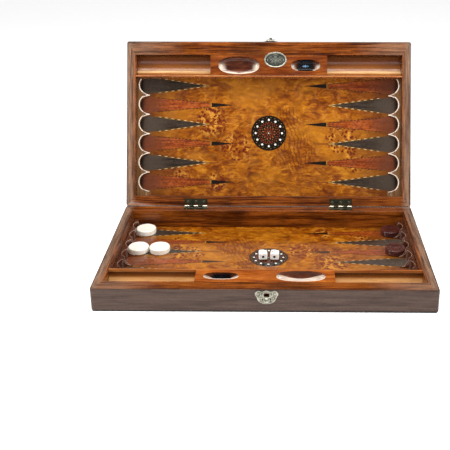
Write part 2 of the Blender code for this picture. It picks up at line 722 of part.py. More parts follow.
def build_catch(frame, front_rail):
    """The shield plate on the base, with a slot for the hasp's tongue and a pocket behind it."""
    thickness = CATCH_THICKNESS
    mesh = outline_mesh("catch_plate", catch_outline(), thickness, smooth_steps=3)
    place = outward(LATCH_X, CATCH_BOTTOM_Z, GAP + thickness / 2)
    plate = add_part("catch_plate", mesh, "pewter", frame, place)
    half_w, half_h = CATCH_SLOT[0] / 2, CATCH_SLOT[1] / 2
    low = (LATCH_X - half_w, -HALF_D - 5 * MM, CATCH_SLOT_Z - half_h)
    high = (LATCH_X + half_w, -HALF_D + CATCH_POCKET_DEPTH, CATCH_SLOT_Z + half_h)
    slot = add_cutter("catch_slot", box_mesh("catch_slot", low, high), frame)
    boolean(plate, "DIFFERENCE", slot)
    boolean(front_rail, "DIFFERENCE", slot)
    eye_reach, eye_z, eye_radius = CATCH_EYES
    eyes = [(LATCH_X + sign * eye_reach, eye_z) for sign in (-1, 1)]
    drill_front("catch_eyes", plate, frame, eyes, eye_radius, 2 * thickness)
    nail_reach, nail_z = CATCH_NAILS
    nails = [(LATCH_X + sign * nail_reach, nail_z) for sign in (-1, 1)]
    drill_for_nails(frame, nails, (plate, front_rail))
    for label, (x, z) in zip(("left", "right"), nails):
        build_nail("catch_" + label + "_nail", frame, x, z, 2 * GAP + thickness)


def build_hasp(frame, front_rail):
    """The latch plate on the lid's front face and the hasp that swings from it."""
    axis_z = HALF_HEIGHT - HASP_AXIS_BELOW_RIM
    x = -LATCH_X
    radius = HASP_KNUCKLE_RADIUS
    bore = HASP_PIN_RADIUS + GAP
    face_level = -HASP_AXIS_OUT + GAP + HASP_PLATE_THICKNESS / 2
    place = outward(x, axis_z, HASP_AXIS_OUT)
    knuckle_length = LATCH_KNUCKLE_LENGTH
    size = (LATCH_PLATE_WIDTH, LATCH_PLATE_LENGTH, HASP_PLATE_THICKNESS, knuckle_length)
    plate = knuckled_leaf(
        "latch_plate", size, HASP_KNUCKLES, (0, 2), radius, bore, face_level, "pewter", frame, place, 5 * MM
    )
    nail_reach, nail_drop = LATCH_NAILS
    nails = [(x + sign * nail_reach, axis_z - nail_drop) for sign in (-1, 1)]
    drill_for_nails(frame, nails, (plate, front_rail))
    for label, (nail_x, nail_z) in zip(("right", "left"), nails):
        build_nail("latch_" + label + "_nail", frame, nail_x, nail_z, 2 * GAP + HASP_PLATE_THICKNESS)

    bm = bmesh.new()
    add_cylinder(bm, HASP_PIN_RADIUS, knuckle_length, along_x(), segments=12)
    add_part("hasp_pin", mesh_from(bm, "hasp_pin"), "brass", frame, place, smooth=True)

    folded = place @ Matrix.Rotation(HASP_FOLDED_BACK - math.pi, 4, "X")
    size = (HASP_WIDTH, HASP_LENGTH, HASP_PLATE_THICKNESS, knuckle_length)
    corner = 5.5 * MM
    hasp = knuckled_leaf(
        "hasp", size, HASP_KNUCKLES, (1,), radius, bore, 0, "pewter", frame, folded, corner
    )
    reach = 2 * HINGE_AXIS.z - CATCH_SLOT_Z - axis_z
    half_x, half_y = TONGUE[0] / 2, TONGUE[1] / 2
    tongue = box_mesh("tongue", (-half_x, -reach - half_y, 0), (half_x, -reach + half_y, TONGUE[2]))
    boolean(hasp, "UNION", add_cutter("hasp_tongue", tongue, frame, folded))


# --- loose pieces ------------------------------------------------------------------------------


def point_centre(side, row):
    """The middle of the recess at the head of a point; rows count from the hinges forward."""
    y = ROWS_MID + ((POINTS_PER_SIDE - 1) / 2 - row) * POINT_PITCH
    return side * (INNER_X - RECESS_INSET), y


def checker_profile(ringed):
    """A turned checker: rounded rim, and on a ringed one a raised ring and a hollow middle."""
    r, t = CHECKER_RADIUS, CHECKER_THICKNESS
    edge = 2 * MM
    if ringed:
        top = [(0, t - 1.2 * MM), (0.3 * r, t - 1 * MM), (0.5 * r, t)]
        top += [(0.62 * r, t - 0.6 * MM), (0.74 * r, t)]
    else:
        top = [(0, t - 0.5 * MM), (0.6 * r, t - 0.4 * MM), (0.74 * r, t)]
    upper = arc((r - edge, t - edge), edge, 90, 0, 2)
    lower = arc((r - edge, edge), edge, 0, -90, 2)
    return top + upper + lower + [(0, 0)]


def build_checkers(frame):
    """Three light and two dark checkers lying on the first and third points from the hinges."""
    slide_in = 3.6 * MM
    second = 2 * CHECKER_RADIUS + 0.8 * MM
    light = [(-1, 0, slide_in + 1.4 * MM), (-1, 2, slide_in), (-1, 2, slide_in + second)]
    dark = [(1, 0, slide_in), (1, 2, slide_in)]
    for label, ringed, material, spots in (
        ("light", False, "ivory", light),
        ("dark", True, "dark_wood", dark),
    ):
        for number, (side, row, into_field) in enumerate(spots, 1):
            x, y = point_centre(side, row)
            place = shift(x - side * into_field, y, LYING_Z)
            profile = checker_profile(ringed)
            turned_part(f"{label}_checker_{number}", profile, material, frame, place, steps=24)


def build_dice(frame):
    """Two dice side by side on the rosette, turned a little."""
    for number, (x, y, turn) in enumerate(DICE_SPOTS, 1):
        name = f"die_{number}"
        bm = bmesh.new()
        half = DIE_SIZE / 2
        add_box(bm, (-half, -half, -half), (half, half, half))
        bmesh.ops.bevel(bm, geom=bm.edges[:], offset=DIE_ROUNDING, segments=2, profile=0.5, affect="EDGES")
        spot = shift(ROSETTE_X["base"] + x, ROSETTE_Y + y, LYING_Z + half)
        place = spot @ Matrix.Rotation(math.radians(turn), 4, "Z")
        add_part(name, mesh_from(bm, name), "white_plastic", frame, place, smooth=True)


def main():
    """The lid is the same half turned round, face to face with the base and then swung open."""
    base_frame = make_frame("base_frame", (0, 0, 0), (0, 0, 0))
    base_frame["pivot"] = (0.0, 0.0, 0.0)
    base_frame["mirror"] = 1
    turn = Matrix.Rotation(-LID_OPEN_ANGLE, 4, "X") @ Matrix.Rotation(math.pi, 4, "Y")
    lid_frame = make_frame("lid_frame", HINGE_AXIS, turn.to_euler())
    lid_frame["pivot"] = tuple(HINGE_AXIS)
    lid_frame["mirror"] = -1

    base_rails, _ = build_half("base", base_frame)
    lid_rails, lid_block = build_half("lid", lid_frame)
    build_badge(lid_frame, lid_block, lid_rails["front_rail"])
    build_hinges(base_frame, lid_frame, base_rails, lid_rails)
    build_catch(base_frame, base_rails["front_rail"])
    build_hasp(lid_frame, lid_rails["front_rail"])
    build_checkers(base_frame)
    build_dice(base_frame)


clear_scene()
parts = make_collection("backgammon_set")
cutters = make_collection("cutters")
materials = make_materials()
main()
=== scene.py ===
"""Looks of the folding backgammon set: varnished walnut frame, burl fields with marquetry points,
scallops and finger wells with painted highlights and shade, old pewter and bronze fittings, checkers and
dice.

Both halves are one design. A piece is made in the half's own coordinates (X along the hinges, Y from
the outer long side to the hinges, Z up to the rim), and the lid's pieces are then turned into place.
"""

import math

import bmesh
import bpy
from mathutils import Matrix, Vector
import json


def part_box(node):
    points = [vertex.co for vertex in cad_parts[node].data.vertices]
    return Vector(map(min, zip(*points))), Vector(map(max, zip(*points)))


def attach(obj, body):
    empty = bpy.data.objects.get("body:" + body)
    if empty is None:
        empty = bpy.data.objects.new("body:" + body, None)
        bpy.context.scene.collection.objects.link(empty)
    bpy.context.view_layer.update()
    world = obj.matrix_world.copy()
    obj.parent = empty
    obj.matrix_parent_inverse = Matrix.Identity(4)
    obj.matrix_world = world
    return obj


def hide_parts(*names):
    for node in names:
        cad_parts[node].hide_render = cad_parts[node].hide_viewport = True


MM = 0.001

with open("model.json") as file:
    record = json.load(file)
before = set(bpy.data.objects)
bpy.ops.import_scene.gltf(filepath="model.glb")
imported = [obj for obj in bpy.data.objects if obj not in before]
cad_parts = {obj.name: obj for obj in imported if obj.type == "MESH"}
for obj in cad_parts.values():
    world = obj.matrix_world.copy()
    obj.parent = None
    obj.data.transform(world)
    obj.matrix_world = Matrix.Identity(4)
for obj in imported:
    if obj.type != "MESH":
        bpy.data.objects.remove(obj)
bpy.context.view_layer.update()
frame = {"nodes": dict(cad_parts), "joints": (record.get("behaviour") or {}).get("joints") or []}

# --- where things are --------------------------------------------------------------------------

hinge_joint = next(j for j in frame["joints"] if j["name"] == "lid_hinge")
LID_ANGLE = math.radians(-hinge_joint["range_deg"][0])
HINGE_AXIS = Vector(hinge_joint["pos_m"])
TURN_LID = (
    Matrix.Translation(HINGE_AXIS)
    @ Matrix.Rotation(-LID_ANGLE, 4, "X")
    @ Matrix.Rotation(math.pi, 4, "Y")
    @ Matrix.Translation(-HINGE_AXIS)
)
PLACE = {"base": Matrix.Identity(4), "lid": TURN_LID}

PANEL_LOW, PANEL_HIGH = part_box("base_floor_panel")
RAIL_LOW, RAIL_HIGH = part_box("base_front_rail")
SIDE_LOW, SIDE_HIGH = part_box("base_left_rail")
STRIP_LOW, STRIP_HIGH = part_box("base_left_scalloped_strip")
BLOCK_LOW, BLOCK_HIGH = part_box("base_storage_block")
TROUGH_LOW, TROUGH_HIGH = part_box("base_left_trough")
ROSETTE_LOW, ROSETTE_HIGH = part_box("base_rosette")

HALF_L = RAIL_HIGH.x
HALF_D = -RAIL_LOW.y
RIM_Z = RAIL_HIGH.z
FLOOR_Z = PANEL_HIGH.z
INNER_X = -SIDE_HIGH.x
FIELD_MID = (STRIP_LOW.y + STRIP_HIGH.y) / 2
ROSETTE_Y = (ROSETTE_LOW.y + ROSETTE_HIGH.y) / 2
ROWS_MID = ROSETTE_Y + 1.8 * MM
STORAGE_MID = (BLOCK_LOW.y + BLOCK_HIGH.y) / 2
BLOCK_TOP = BLOCK_HIGH.z
BACK_RAIL = 17.5 * MM
HINGE_X = 124.5 * MM
HINGE_LENGTH = 38.5 * MM

POINT_PITCH = 33.9 * MM
ROWS = 6
RECESS_RADIUS = 16.4 * MM
RECESS_INSET = 20 * MM
STRIP_WIDTH = STRIP_HIGH.x + INNER_X
STRIP_TOP_WIDTH = 9.5 * MM
STRIP_TOE = 0.8 * MM
LIP_RADIUS = {"base": 0.4 * MM, "lid": 1.1 * MM}
LIP_RISE = 0.5
GUTTER_RADIUS = 17 * MM
GUTTER_AXIS_Z = 31.5 * MM
WELL_DEPTH = 12 * MM
WELL_POWER = 2.5
LARGE_WELL = (51.5 * MM, 70 * MM, 30 * MM, 0.55)
SMALL_WELL = (-63.5 * MM, 50 * MM, 20 * MM, 0.68)
# Depths where the base wells' dark wood gives way to a painted highlight crescent, and how far that crescent
# climbs at the ends
WELL_SHADE_DEPTH = 10.6 * MM
WELL_HIGHLIGHT_DEPTH = 11.6 * MM
WELL_HIGHLIGHT_RISE = 10 * MM
BADGE_X = -11.5 * MM
BADGE_Y = STORAGE_MID - 9.5 * MM
BADGE_SIZE = (39 * MM, 27 * MM)
BADGE_RECESS = 0.9 * MM


# --- mesh helpers ------------------------------------------------------------------------------


def mm(points):
    """Points given in millimetres."""
    return [tuple(value * MM for value in point) for point in points]


def shift(x=0.0, y=0.0, z=0.0):
    return Matrix.Translation((x, y, z))


def turn_about(axis, degrees):
    return Matrix.Rotation(math.radians(degrees), 4, axis)


def new_object(name, data):
    obj = bpy.data.objects.new(name, data)
    bpy.context.scene.collection.objects.link(obj)
    return obj


def mesh_from(bm):
    mesh = bpy.data.meshes.new("made")
    bm.to_mesh(mesh)
    bm.free()
    return mesh


def solid(add, *parts):
    """The mesh that one call of an add function makes."""
    bm = bmesh.new()
    add(bm, *parts)
    return mesh_from(bm)


def baked(obj):
    """The object's mesh with its modifiers applied; the object itself is removed."""
    depsgraph = bpy.context.evaluated_depsgraph_get()
    mesh = bpy.data.meshes.new_from_object(obj.evaluated_get(depsgraph))
    bpy.data.objects.remove(obj)
    return mesh


def modified(mesh, kind, **settings):
    """The mesh with one modifier applied."""
    obj = new_object("work", mesh)
    modifier = obj.modifiers.new(kind, kind)
    for key, value in settings.items():
        setattr(modifier, key, value)
    return baked(obj)


def cut(mesh, cutter):
    """A mesh with another mesh taken out of it."""
    tool = new_object("tool", cutter)
    made = modified(mesh, "BOOLEAN", operation="DIFFERENCE", solver="EXACT", object=tool)
    bpy.data.objects.remove(tool)
    return made


def rounded(mesh, width, segments=3, angle=30):
    """A mesh with its sharp edges rounded."""
    limit = {"limit_method": "ANGLE", "angle_limit": math.radians(angle)}
    return modified(mesh, "BEVEL", width=width, segments=segments, **limit)


def smooth(mesh, angle=35):
    """Welds and smooths a mesh; flat faces stay flat right up to their rounded edges."""
    bm = bmesh.new()
    bm.from_mesh(mesh)
    bmesh.ops.remove_doubles(bm, verts=bm.verts, dist=0.002 * MM)
    bm.to_mesh(mesh)
    bm.free()
    mesh.shade_smooth()
    mesh.set_sharp_from_angle(angle=math.radians(angle))
    return modified(mesh, "WEIGHTED_NORMAL", weight=100, keep_sharp=True)


def joined(*meshes):
    """Several meshes as one; each keeps its material index."""
    bm = bmesh.new()
    for mesh in meshes:
        bm.from_mesh(mesh)
    return mesh_from(bm)


def arc(centre, radius, start, end, steps):
    """Points along an arc, from one angle to another in degrees."""
    found = []
    for i in range(steps + 1):
        angle = math.radians(start + (end - start) * i / steps)
        found.append((centre[0] + radius * math.cos(angle), centre[1] + radius * math.sin(angle)))
    return found


def oval(length, width, count, power=2.0):
    """Points round a superellipse; a power of 2 gives a plain ellipse."""
    found = []
    for i in range(count):
        angle = 2 * math.pi * i / count
        c, s = math.cos(angle), math.sin(angle)
        x = length / 2 * math.copysign(abs(c) ** (2 / power), c)
        y = width / 2 * math.copysign(abs(s) ** (2 / power), s)
        found.append((x, y))
    return found


def add_prism(bm, outline, low, high, matrix=Matrix.Identity(4)):
    """A closed upright prism over a flat outline."""
    bottom = [bm.verts.new(matrix @ Vector((x, y, low))) for x, y in outline]
    top = [bm.verts.new(matrix @ Vector((x, y, high))) for x, y in outline]
    faces = [bm.faces.new(top), bm.faces.new(reversed(bottom))]
    count = len(outline)
    for i in range(count):
        j = (i + 1) % count
        faces.append(bm.faces.new((bottom[i], bottom[j], top[j], top[i])))
    bmesh.ops.recalc_face_normals(bm, faces=faces)


def prism_along_x(profile, length):
    """A profile in the YZ plane, drawn out along X about the middle."""
    turn = Matrix(((0, 0, 1, 0), (1, 0, 0, 0), (0, 1, 0, 0), (0, 0, 0, 1)))
    return solid(add_prism, profile, -length / 2, length / 2, turn)


def add_rings(bm, rings, close=True):
    """Skins a stack of rings with equal counts, and closes both ends."""
    loops = [[bm.verts.new(point) for point in ring] for ring in rings]
    faces = []
    count = len(loops[0])
    for one, two in zip(loops, loops[1:]):
        for i in range(count):
            j = (i + 1) % count
            faces.append(bm.faces.new((one[i], two[i], two[j], one[j])))
    if close:
        faces.append(bm.faces.new(loops[0]))
        faces.append(bm.faces.new(reversed(loops[-1])))
    bmesh.ops.recalc_face_normals(bm, faces=faces)


def add_turned(bm, profile, matrix, steps):
    """A solid of revolution about Z; the profile runs from the axis out and back to the axis."""
    rings = []
    for radius, z in profile:
        ring = []
        for i in range(steps):
            angle = 2 * math.pi * i / steps
            ring.append(matrix @ Vector((radius * math.cos(angle), radius * math.sin(angle), z)))
        rings.append(ring)
    add_rings(bm, rings)


def add_bead(bm, path, radii):
    """A round bead along a path, as thick at each point as the radii say."""
    sides = 8
    last = len(path) - 1
    rings = []
    for i, point in enumerate(path):
        ahead = (path[min(i + 1, last)] - path[max(i - 1, 0)]).normalized()
        aside = ahead.cross(Vector((0, 0, 1))).normalized()
        up = aside.cross(ahead)
        turns = [2 * math.pi * j / sides for j in range(sides)]
        rings.append([point + (aside * math.cos(t) + up * math.sin(t)) * radii[i] for t in turns])
    add_rings(bm, rings)


def wire_mesh(paths, radius):
    """Relief on metal: round wires along smooth paths of (x, y, thickness), a little flattened."""
    curve = bpy.data.curves.new("wire", "CURVE")
    curve.dimensions = "3D"
    curve.bevel_depth = radius
    curve.bevel_resolution = 3
    curve.use_fill_caps = True
    curve.resolution_u = 6
    for points, closed in paths:
        spline = curve.splines.new("BEZIER")
        spline.bezier_points.add(len(points) - 1)
        for target, (x, y, thickness) in zip(spline.bezier_points, points):
            target.co = (x, y, 0)
            target.radius = thickness
            target.handle_left_type = "AUTO"
            target.handle_right_type = "AUTO"
        spline.use_cyclic_u = closed
    mesh = baked(new_object("wire", curve))
    mesh.transform(Matrix.Diagonal((1, 1, 0.8, 1)))
    mesh.materials.clear()
    return mesh


# --- pieces ------------------------------------------------------------------------------------

LOOKS = {}


def write_attribute(mesh, name, vectors):
    layer = mesh.attributes.new(name, "FLOAT_VECTOR", "POINT")
    flat = [value for vector in vectors for value in vector]
    layer.data.foreach_set("vector", flat)


def piece(name, mesh, body, looks, node=None, grain=0, seed=0.0):
    """Adds a finished piece that rides on a body and may stand for a CAD node.

    Materials read two point attributes: 'half', the place in the half's own coordinates, and 'grain',
    the same turned so that its X runs along the wood's grain, and moved by a seed of its own.
    """
    looks = (looks,) if isinstance(looks, str) else looks
    turn = turn_about("Z", -grain).to_3x3()
    offset = Vector((seed, seed * 0.37, seed * 0.11))
    places = [vertex.co.copy() for vertex in mesh.vertices]
    write_attribute(mesh, "half", places)
    write_attribute(mesh, "grain", [turn @ place + offset for place in places])
    mesh.transform(PLACE["lid" if body in ("lid", "hasp") else "base"])
    indices = [min(polygon.material_index, len(looks) - 1) for polygon in mesh.polygons]
    mesh.materials.clear()
    for look in looks:
        mesh.materials.append(LOOKS[look])
    mesh.polygons.foreach_set("material_index", indices)
    obj = new_object(name, mesh)
    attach(obj, body)
    if node:
        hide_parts(node)


def adopted(node, half):
    """A copy of a CAD node's mesh in the half's own coordinates."""
    mesh = frame["nodes"][node].data.copy()
    mesh.transform(PLACE[half].inverted())
    if "custom_normal" in mesh.attributes:
        mesh.attributes.remove(mesh.attributes["custom_normal"])
    return mesh


# --- materials ---------------------------------------------------------------------------------


def srgb(red, green, blue):
    """A screen colour, 0 to 255, as a shader colour."""
    made = []
    for value in (red, green, blue):
        share = value / 255
        made.append(share / 12.92 if share <= 0.04045 else ((share + 0.055) / 1.055) ** 2.4)
    return (*made, 1.0)


def shades(*tones):
    return [srgb(*tone) for tone in tones]


class Look:
    """One node material. Each method adds nodes and gives back their output."""

    def __init__(self, name):
        self.name = name
        self.material = bpy.data.materials.new(name)
        self.material.use_nodes = True
        self.tree = self.material.node_tree
        self.shader = self.tree.nodes["Principled BSDF"]

    def feed(self, socket, value):
        if isinstance(value, bpy.types.NodeSocket):
            self.tree.links.new(value, socket)
        else:
            socket.default_value = value

    def node(self, kind, inputs=(), **settings):
        made = self.tree.nodes.new("ShaderNode" + kind)
        for key, value in settings.items():
            setattr(made, key, value)
        for key, value in dict(inputs).items():
            self.feed(made.inputs[key], value)
        return made

    def place(self, scale=(1, 1, 1), on="half", offset=(0, 0, 0)):
        """One of the two point attributes; the scale is one number or three."""
        scale = scale if isinstance(scale, tuple) else (scale, scale, scale)
        source = self.node("Attribute", attribute_name=on).outputs["Vector"]
        return self.node("Mapping", {"Vector": source, "Scale": scale, "Location": offset}).outputs[0]

    def axes(self):
        return self.node("SeparateXYZ", {0: self.place()}).outputs

    def reach(self):
        """Distance from the middle of the box, along the hinges."""
        return self.math("ABSOLUTE", self.axes()[0])

    def noise(self, scale, detail=4.0, rough=0.55, distortion=0.0, on="half", offset=(0, 0, 0)):
        inputs = {"Vector": self.place(scale, on, offset), "Scale": 1.0, "Detail": detail}
        inputs.update({"Roughness": rough, "Distortion": distortion})
        return self.node("TexNoise", inputs).outputs["Fac"]

    def ramp(self, value, stops):
        made = self.node("ValToRGB", {"Fac": value})
        elements = made.color_ramp.elements
        while len(elements) < len(stops):
            elements.new(0.5)
        for element, (position, colour) in zip(elements, stops):
            element.position = position
            element.color = colour
        return made.outputs["Color"]

    def levels(self, value, low, high, start=0.0, end=1.0):
        """The value from low to high as start to end, eased and held outside."""
        inputs = {"Value": value, "From Min": low, "From Max": high, "To Min": start, "To Max": end}
        return self.node("MapRange", inputs, interpolation_type="SMOOTHSTEP").outputs["Result"]

    def math(self, operation, a, b=0.0, c=0.0):
        return self.node("Math", {0: a, 1: b, 2: c}, operation=operation).outputs[0]

    def times(self, a, b, plus=None):
        if plus is None:
            return self.math("MULTIPLY", a, b)
        return self.math("MULTIPLY_ADD", a, b, plus)

    def most(self, a, b):
        return self.math("MAXIMUM", a, b)

    def mix(self, share, a, b):
        made = self.node("Mix", data_type="RGBA")
        for index, value in ((0, share), (6, a), (7, b)):
            self.feed(made.inputs[index], value)
        return made.outputs[2]

    def bump(self, height, strength, distance):
        inputs = {"Height": height, "Strength": strength, "Distance": distance}
        return self.node("Bump", inputs).outputs["Normal"]

    def pushed(self, scale, size):
        """The place, pushed about smoothly by up to half the size each way."""
        source = self.node("TexNoise", {"Vector": self.place(), "Scale": scale, "Detail": 3.0})
        centre = {0: source.outputs["Color"], 1: (-0.5, -0.5, -0.5)}
        centred = self.node("VectorMath", centre, operation="ADD").outputs["Vector"]
        push = self.node("VectorMath", {0: centred, 3: size}, operation="SCALE").outputs["Vector"]
        return self.node("VectorMath", {0: self.place(), 1: push}, operation="ADD").outputs["Vector"]

    def finish(self, colour, roughness, normal=None, **constants):
        self.feed(self.shader.inputs["Base Color"], colour)
        self.feed(self.shader.inputs["Roughness"], roughness)
        if normal is not None:
            self.feed(self.shader.inputs["Normal"], normal)
        for key, value in constants.items():
            self.shader.inputs[key.replace("_", " ")].default_value = value
        LOOKS[self.name] = self.material


def streaked(look, scale=(9, 210, 210)):
    """Broad streaks, fine streaks and short dark pores along the grain."""
    broad = look.noise(scale, 6, 0.62, 0.5, "grain")
    fine = look.noise((scale[0] * 3, scale[1] * 4, scale[2] * 4), 3, 0.6, on="grain")
    pore = look.levels(look.noise((55, 1500, 1500), 2, 0.5, on="grain"), 0.58, 0.7)
    return broad, fine, pore


def varnished(look, colour, broad, pore, gloss=0.22, coat=0.3, ior=1.42):
    """A varnish coat over wood: pores dip a little and rub marks change the gloss."""
    rub = look.noise(60, 5)
    rough = look.levels(rub, 0.3, 0.75, gloss * 0.75, gloss * 1.5)
    normal = look.bump(look.times(pore, -0.7, broad), 0.12, 0.15 * MM)
    look.finish(colour, rough, normal, Coat_Weight=coat, Coat_Roughness=0.07, IOR=ior)


def walnut():
    """Walnut rails: orange-brown with dark streaks, with a painted grey-brown sheen on the side rails, the
    long rails' ends and the outer faces; the outer faces are darker still.
    """
    look = Look("walnut")
    dark, middle, light = shades((36, 10, 1), (86, 35, 5), (146, 77, 20))
    # tones of the painted grey sheen, and a darker tone for the outer faces
    grey_sheen, grey_sheen_light, outer_dark = shades((84, 62, 48), (146, 120, 100), (44, 25, 24))
    broad, fine, pore = streaked(look)
    mixed = look.times(fine, 0.5, look.times(broad, 0.7))
    colour = look.ramp(mixed, [(0.42, dark), (0.55, middle), (0.68, light), (0.8, middle)])
    blotch = look.noise((16, 22, 22), 3)
    colour = look.mix(look.levels(blotch, 0.42, 0.7, 0, 0.5), colour, dark)
    x, y, _ = look.axes()
    reach = look.math("ABSOLUTE", x)
    # painted sheen: grey-brown over the side rails, the long rails' ends and the outer faces
    side_rail = look.levels(reach, HALF_L - 17 * MM, HALF_L - 5 * MM, 0, 0.8)
    near_end = look.levels(reach, HALF_L - 110 * MM, HALF_L - 20 * MM, 0, 0.5)
    long_rail = look.levels(look.times(y, -1.0), HALF_D - 30 * MM, HALF_D - 20 * MM)
    face = look.levels(look.math("ABSOLUTE", y), HALF_D - 1.5 * MM, HALF_D - 0.4 * MM)
    end_face = look.levels(reach, HALF_L - 1.5 * MM, HALF_L - 0.4 * MM)
    outside = look.most(face, end_face)
    edge = look.most(look.most(side_rail, look.times(near_end, long_rail)), outside)
    grey_sheen_colour = look.mix(look.levels(mixed, 0.42, 0.74), grey_sheen, grey_sheen_light)
    colour = look.mix(edge, colour, grey_sheen_colour)
    # the outer faces darker
    colour = look.mix(look.times(outside, 0.72), colour, outer_dark)
    colour = look.mix(look.times(pore, 0.6), colour, srgb(20, 7, 3))
    varnished(look, colour, mixed, pore, 0.26, 0.14, 1.28)


def plain_wood(name, *tones, scale=(9, 210, 210)):
    """Varnished wood from a dark, a middle and a light tone."""
    look = Look(name)
    dark, middle, light = shades(*tones)
    broad, fine, pore = streaked(look, scale)
    mixed = look.times(fine, 0.4, look.times(broad, 0.75))
    colour = look.ramp(mixed, [(0.36, dark), (0.55, middle), (0.75, light)])
    colour = look.mix(look.levels(look.noise(30, 3), 0.4, 0.7, 0, 0.35), colour, dark)
    colour = look.mix(look.times(pore, 0.5), colour, dark)
    varnished(look, colour, mixed, pore)


def across_storage(look, half, half_width):
    """Distance from the storage row's middle line, 1 at the side that gets the painted highlight and -1
    opposite.
    """
    highlight_side = 1 if half == "lid" else -1
    return look.times(look.math("SUBTRACT", look.axes()[1], STORAGE_MID), highlight_side / half_width)


def trough_wood(half):
    """Gutter wood with painted light: the base's has painted shade at the top and a painted pale highlight
    along the bottom; the lid's has painted shade on one wall, tan along the bottom and a painted pale
    highlight high on the other wall."""
    look = Look(half + "_trough_wood")
    broad, fine, pore = streaked(look, (14, 160, 160))
    mixed = look.times(fine, 0.4, look.times(broad, 0.75))
    wobble = look.times(broad, 0.18, -0.09)
    if half == "base":
        # base: painted shade near the rim, turning to a painted pale highlight at the bottom
        share = look.math("ADD", look.levels(look.axes()[2], RIM_Z, RIM_Z - 15 * MM), wobble)
        stops = [(0.0, (40, 16, 4)), (0.45, (72, 36, 10)), (0.8, (120, 70, 26)), (1.0, (206, 152, 92))]
    else:
        # lid: painted shade on one wall, a painted pale highlight high on the other
        across = look.math("ADD", across_storage(look, half, GUTTER_RADIUS), wobble)
        share = look.times(across, 0.5, 0.5)
        stops = [(0.0, (52, 22, 6)), (0.3, (112, 56, 18)), (0.52, (158, 95, 40)), (0.68, (160, 96, 42))]
        stops += [(0.75, (240, 200, 148)), (0.82, (226, 176, 118)), (0.9, (156, 88, 34))]
        stops += [(1.0, (136, 68, 22))]
    colour = look.ramp(share, [(at, srgb(*tone)) for at, tone in stops])
    colour = look.mix(look.levels(mixed, 0.45, 0.75, 0, 0.4), colour, srgb(104, 54, 20))
    colour = look.mix(look.times(pore, 0.4), colour, srgb(60, 28, 12))
    varnished(look, colour, mixed, pore, 0.24)


def well_wood(half):
    """A finger well in dark wood, with a painted pale highlight round its ends and along the lip on one
    side. The base's wells also have a painted highlight along the bottom, in a crescent that climbs towards
    their ends."""
    look = Look(half + "_well_wood")
    broad, fine, pore = streaked(look, (26, 120, 120))
    x, _, z = look.axes()
    sunk = look.math("SUBTRACT", BLOCK_TOP, z)
    highlight_masks = []
    for middle, length, width, _ in (LARGE_WELL, SMALL_WELL):
        along = look.math("ABSOLUTE", look.times(look.math("SUBTRACT", x, middle), 2 / length))
        across = across_storage(look, half, width / 2)
        # painted highlights round the well's ends and along its lip on the highlight side
        ends = look.times(look.levels(along, 0.58, 0.9, 0, 0.85), look.levels(across, -0.5, 0.2))
        lip_highlight = look.levels(look.times(along, 0.3, across), 0.72, 0.88)
        # the base's painted highlight crescent, deep along the bottom and climbing at the ends
        if half == "base":
            deep = look.times(look.times(along, along), WELL_HIGHLIGHT_RISE, sunk)
            lip_highlight = look.most(lip_highlight, look.levels(deep, WELL_SHADE_DEPTH, WELL_HIGHLIGHT_DEPTH, 0, 0.6))
        highlight_masks.append(look.times(look.most(ends, lip_highlight), look.math("LESS_THAN", along, 1.1)))
    dark = look.mix(look.levels(broad, 0.35, 0.7), *shades((58, 22, 12), (108, 56, 32)))
    # pale tones of the painted highlight
    painted_highlight = look.mix(look.levels(fine, 0.4, 0.75), *shades((246, 232, 214), (222, 192, 160)))
    varnished(look, look.mix(look.most(*highlight_masks), dark, painted_highlight), broad, pore, 0.2)


def spot_mask(look, spots):
    """Soft round areas, 1 in the middle and 0 outside; each is (x, y, radius) on the field, in mm."""
    place = look.place()
    total = None
    for x, y, radius in mm(spots):
        inputs = {0: place, 1: (x, y, FLOOR_Z)}
        away = look.node("VectorMath", inputs, operation="DISTANCE").outputs["Value"]
        one = look.levels(away, radius, radius * 0.35)
        total = one if total is None else look.most(total, one)
    return total


BURL_TONES = ((92, 40, 2), (130, 67, 4), (154, 86, 8), (186, 120, 28))
BURL_CLUSTERS = ((99, -6, 36), (58, 38, 34), (152, 88, 18), (92, 100, 22), (-130, 22, 40), (-150, 64, 26))
BURL_CURLS = ((-46, 46, 50), (-34, -8, 34))


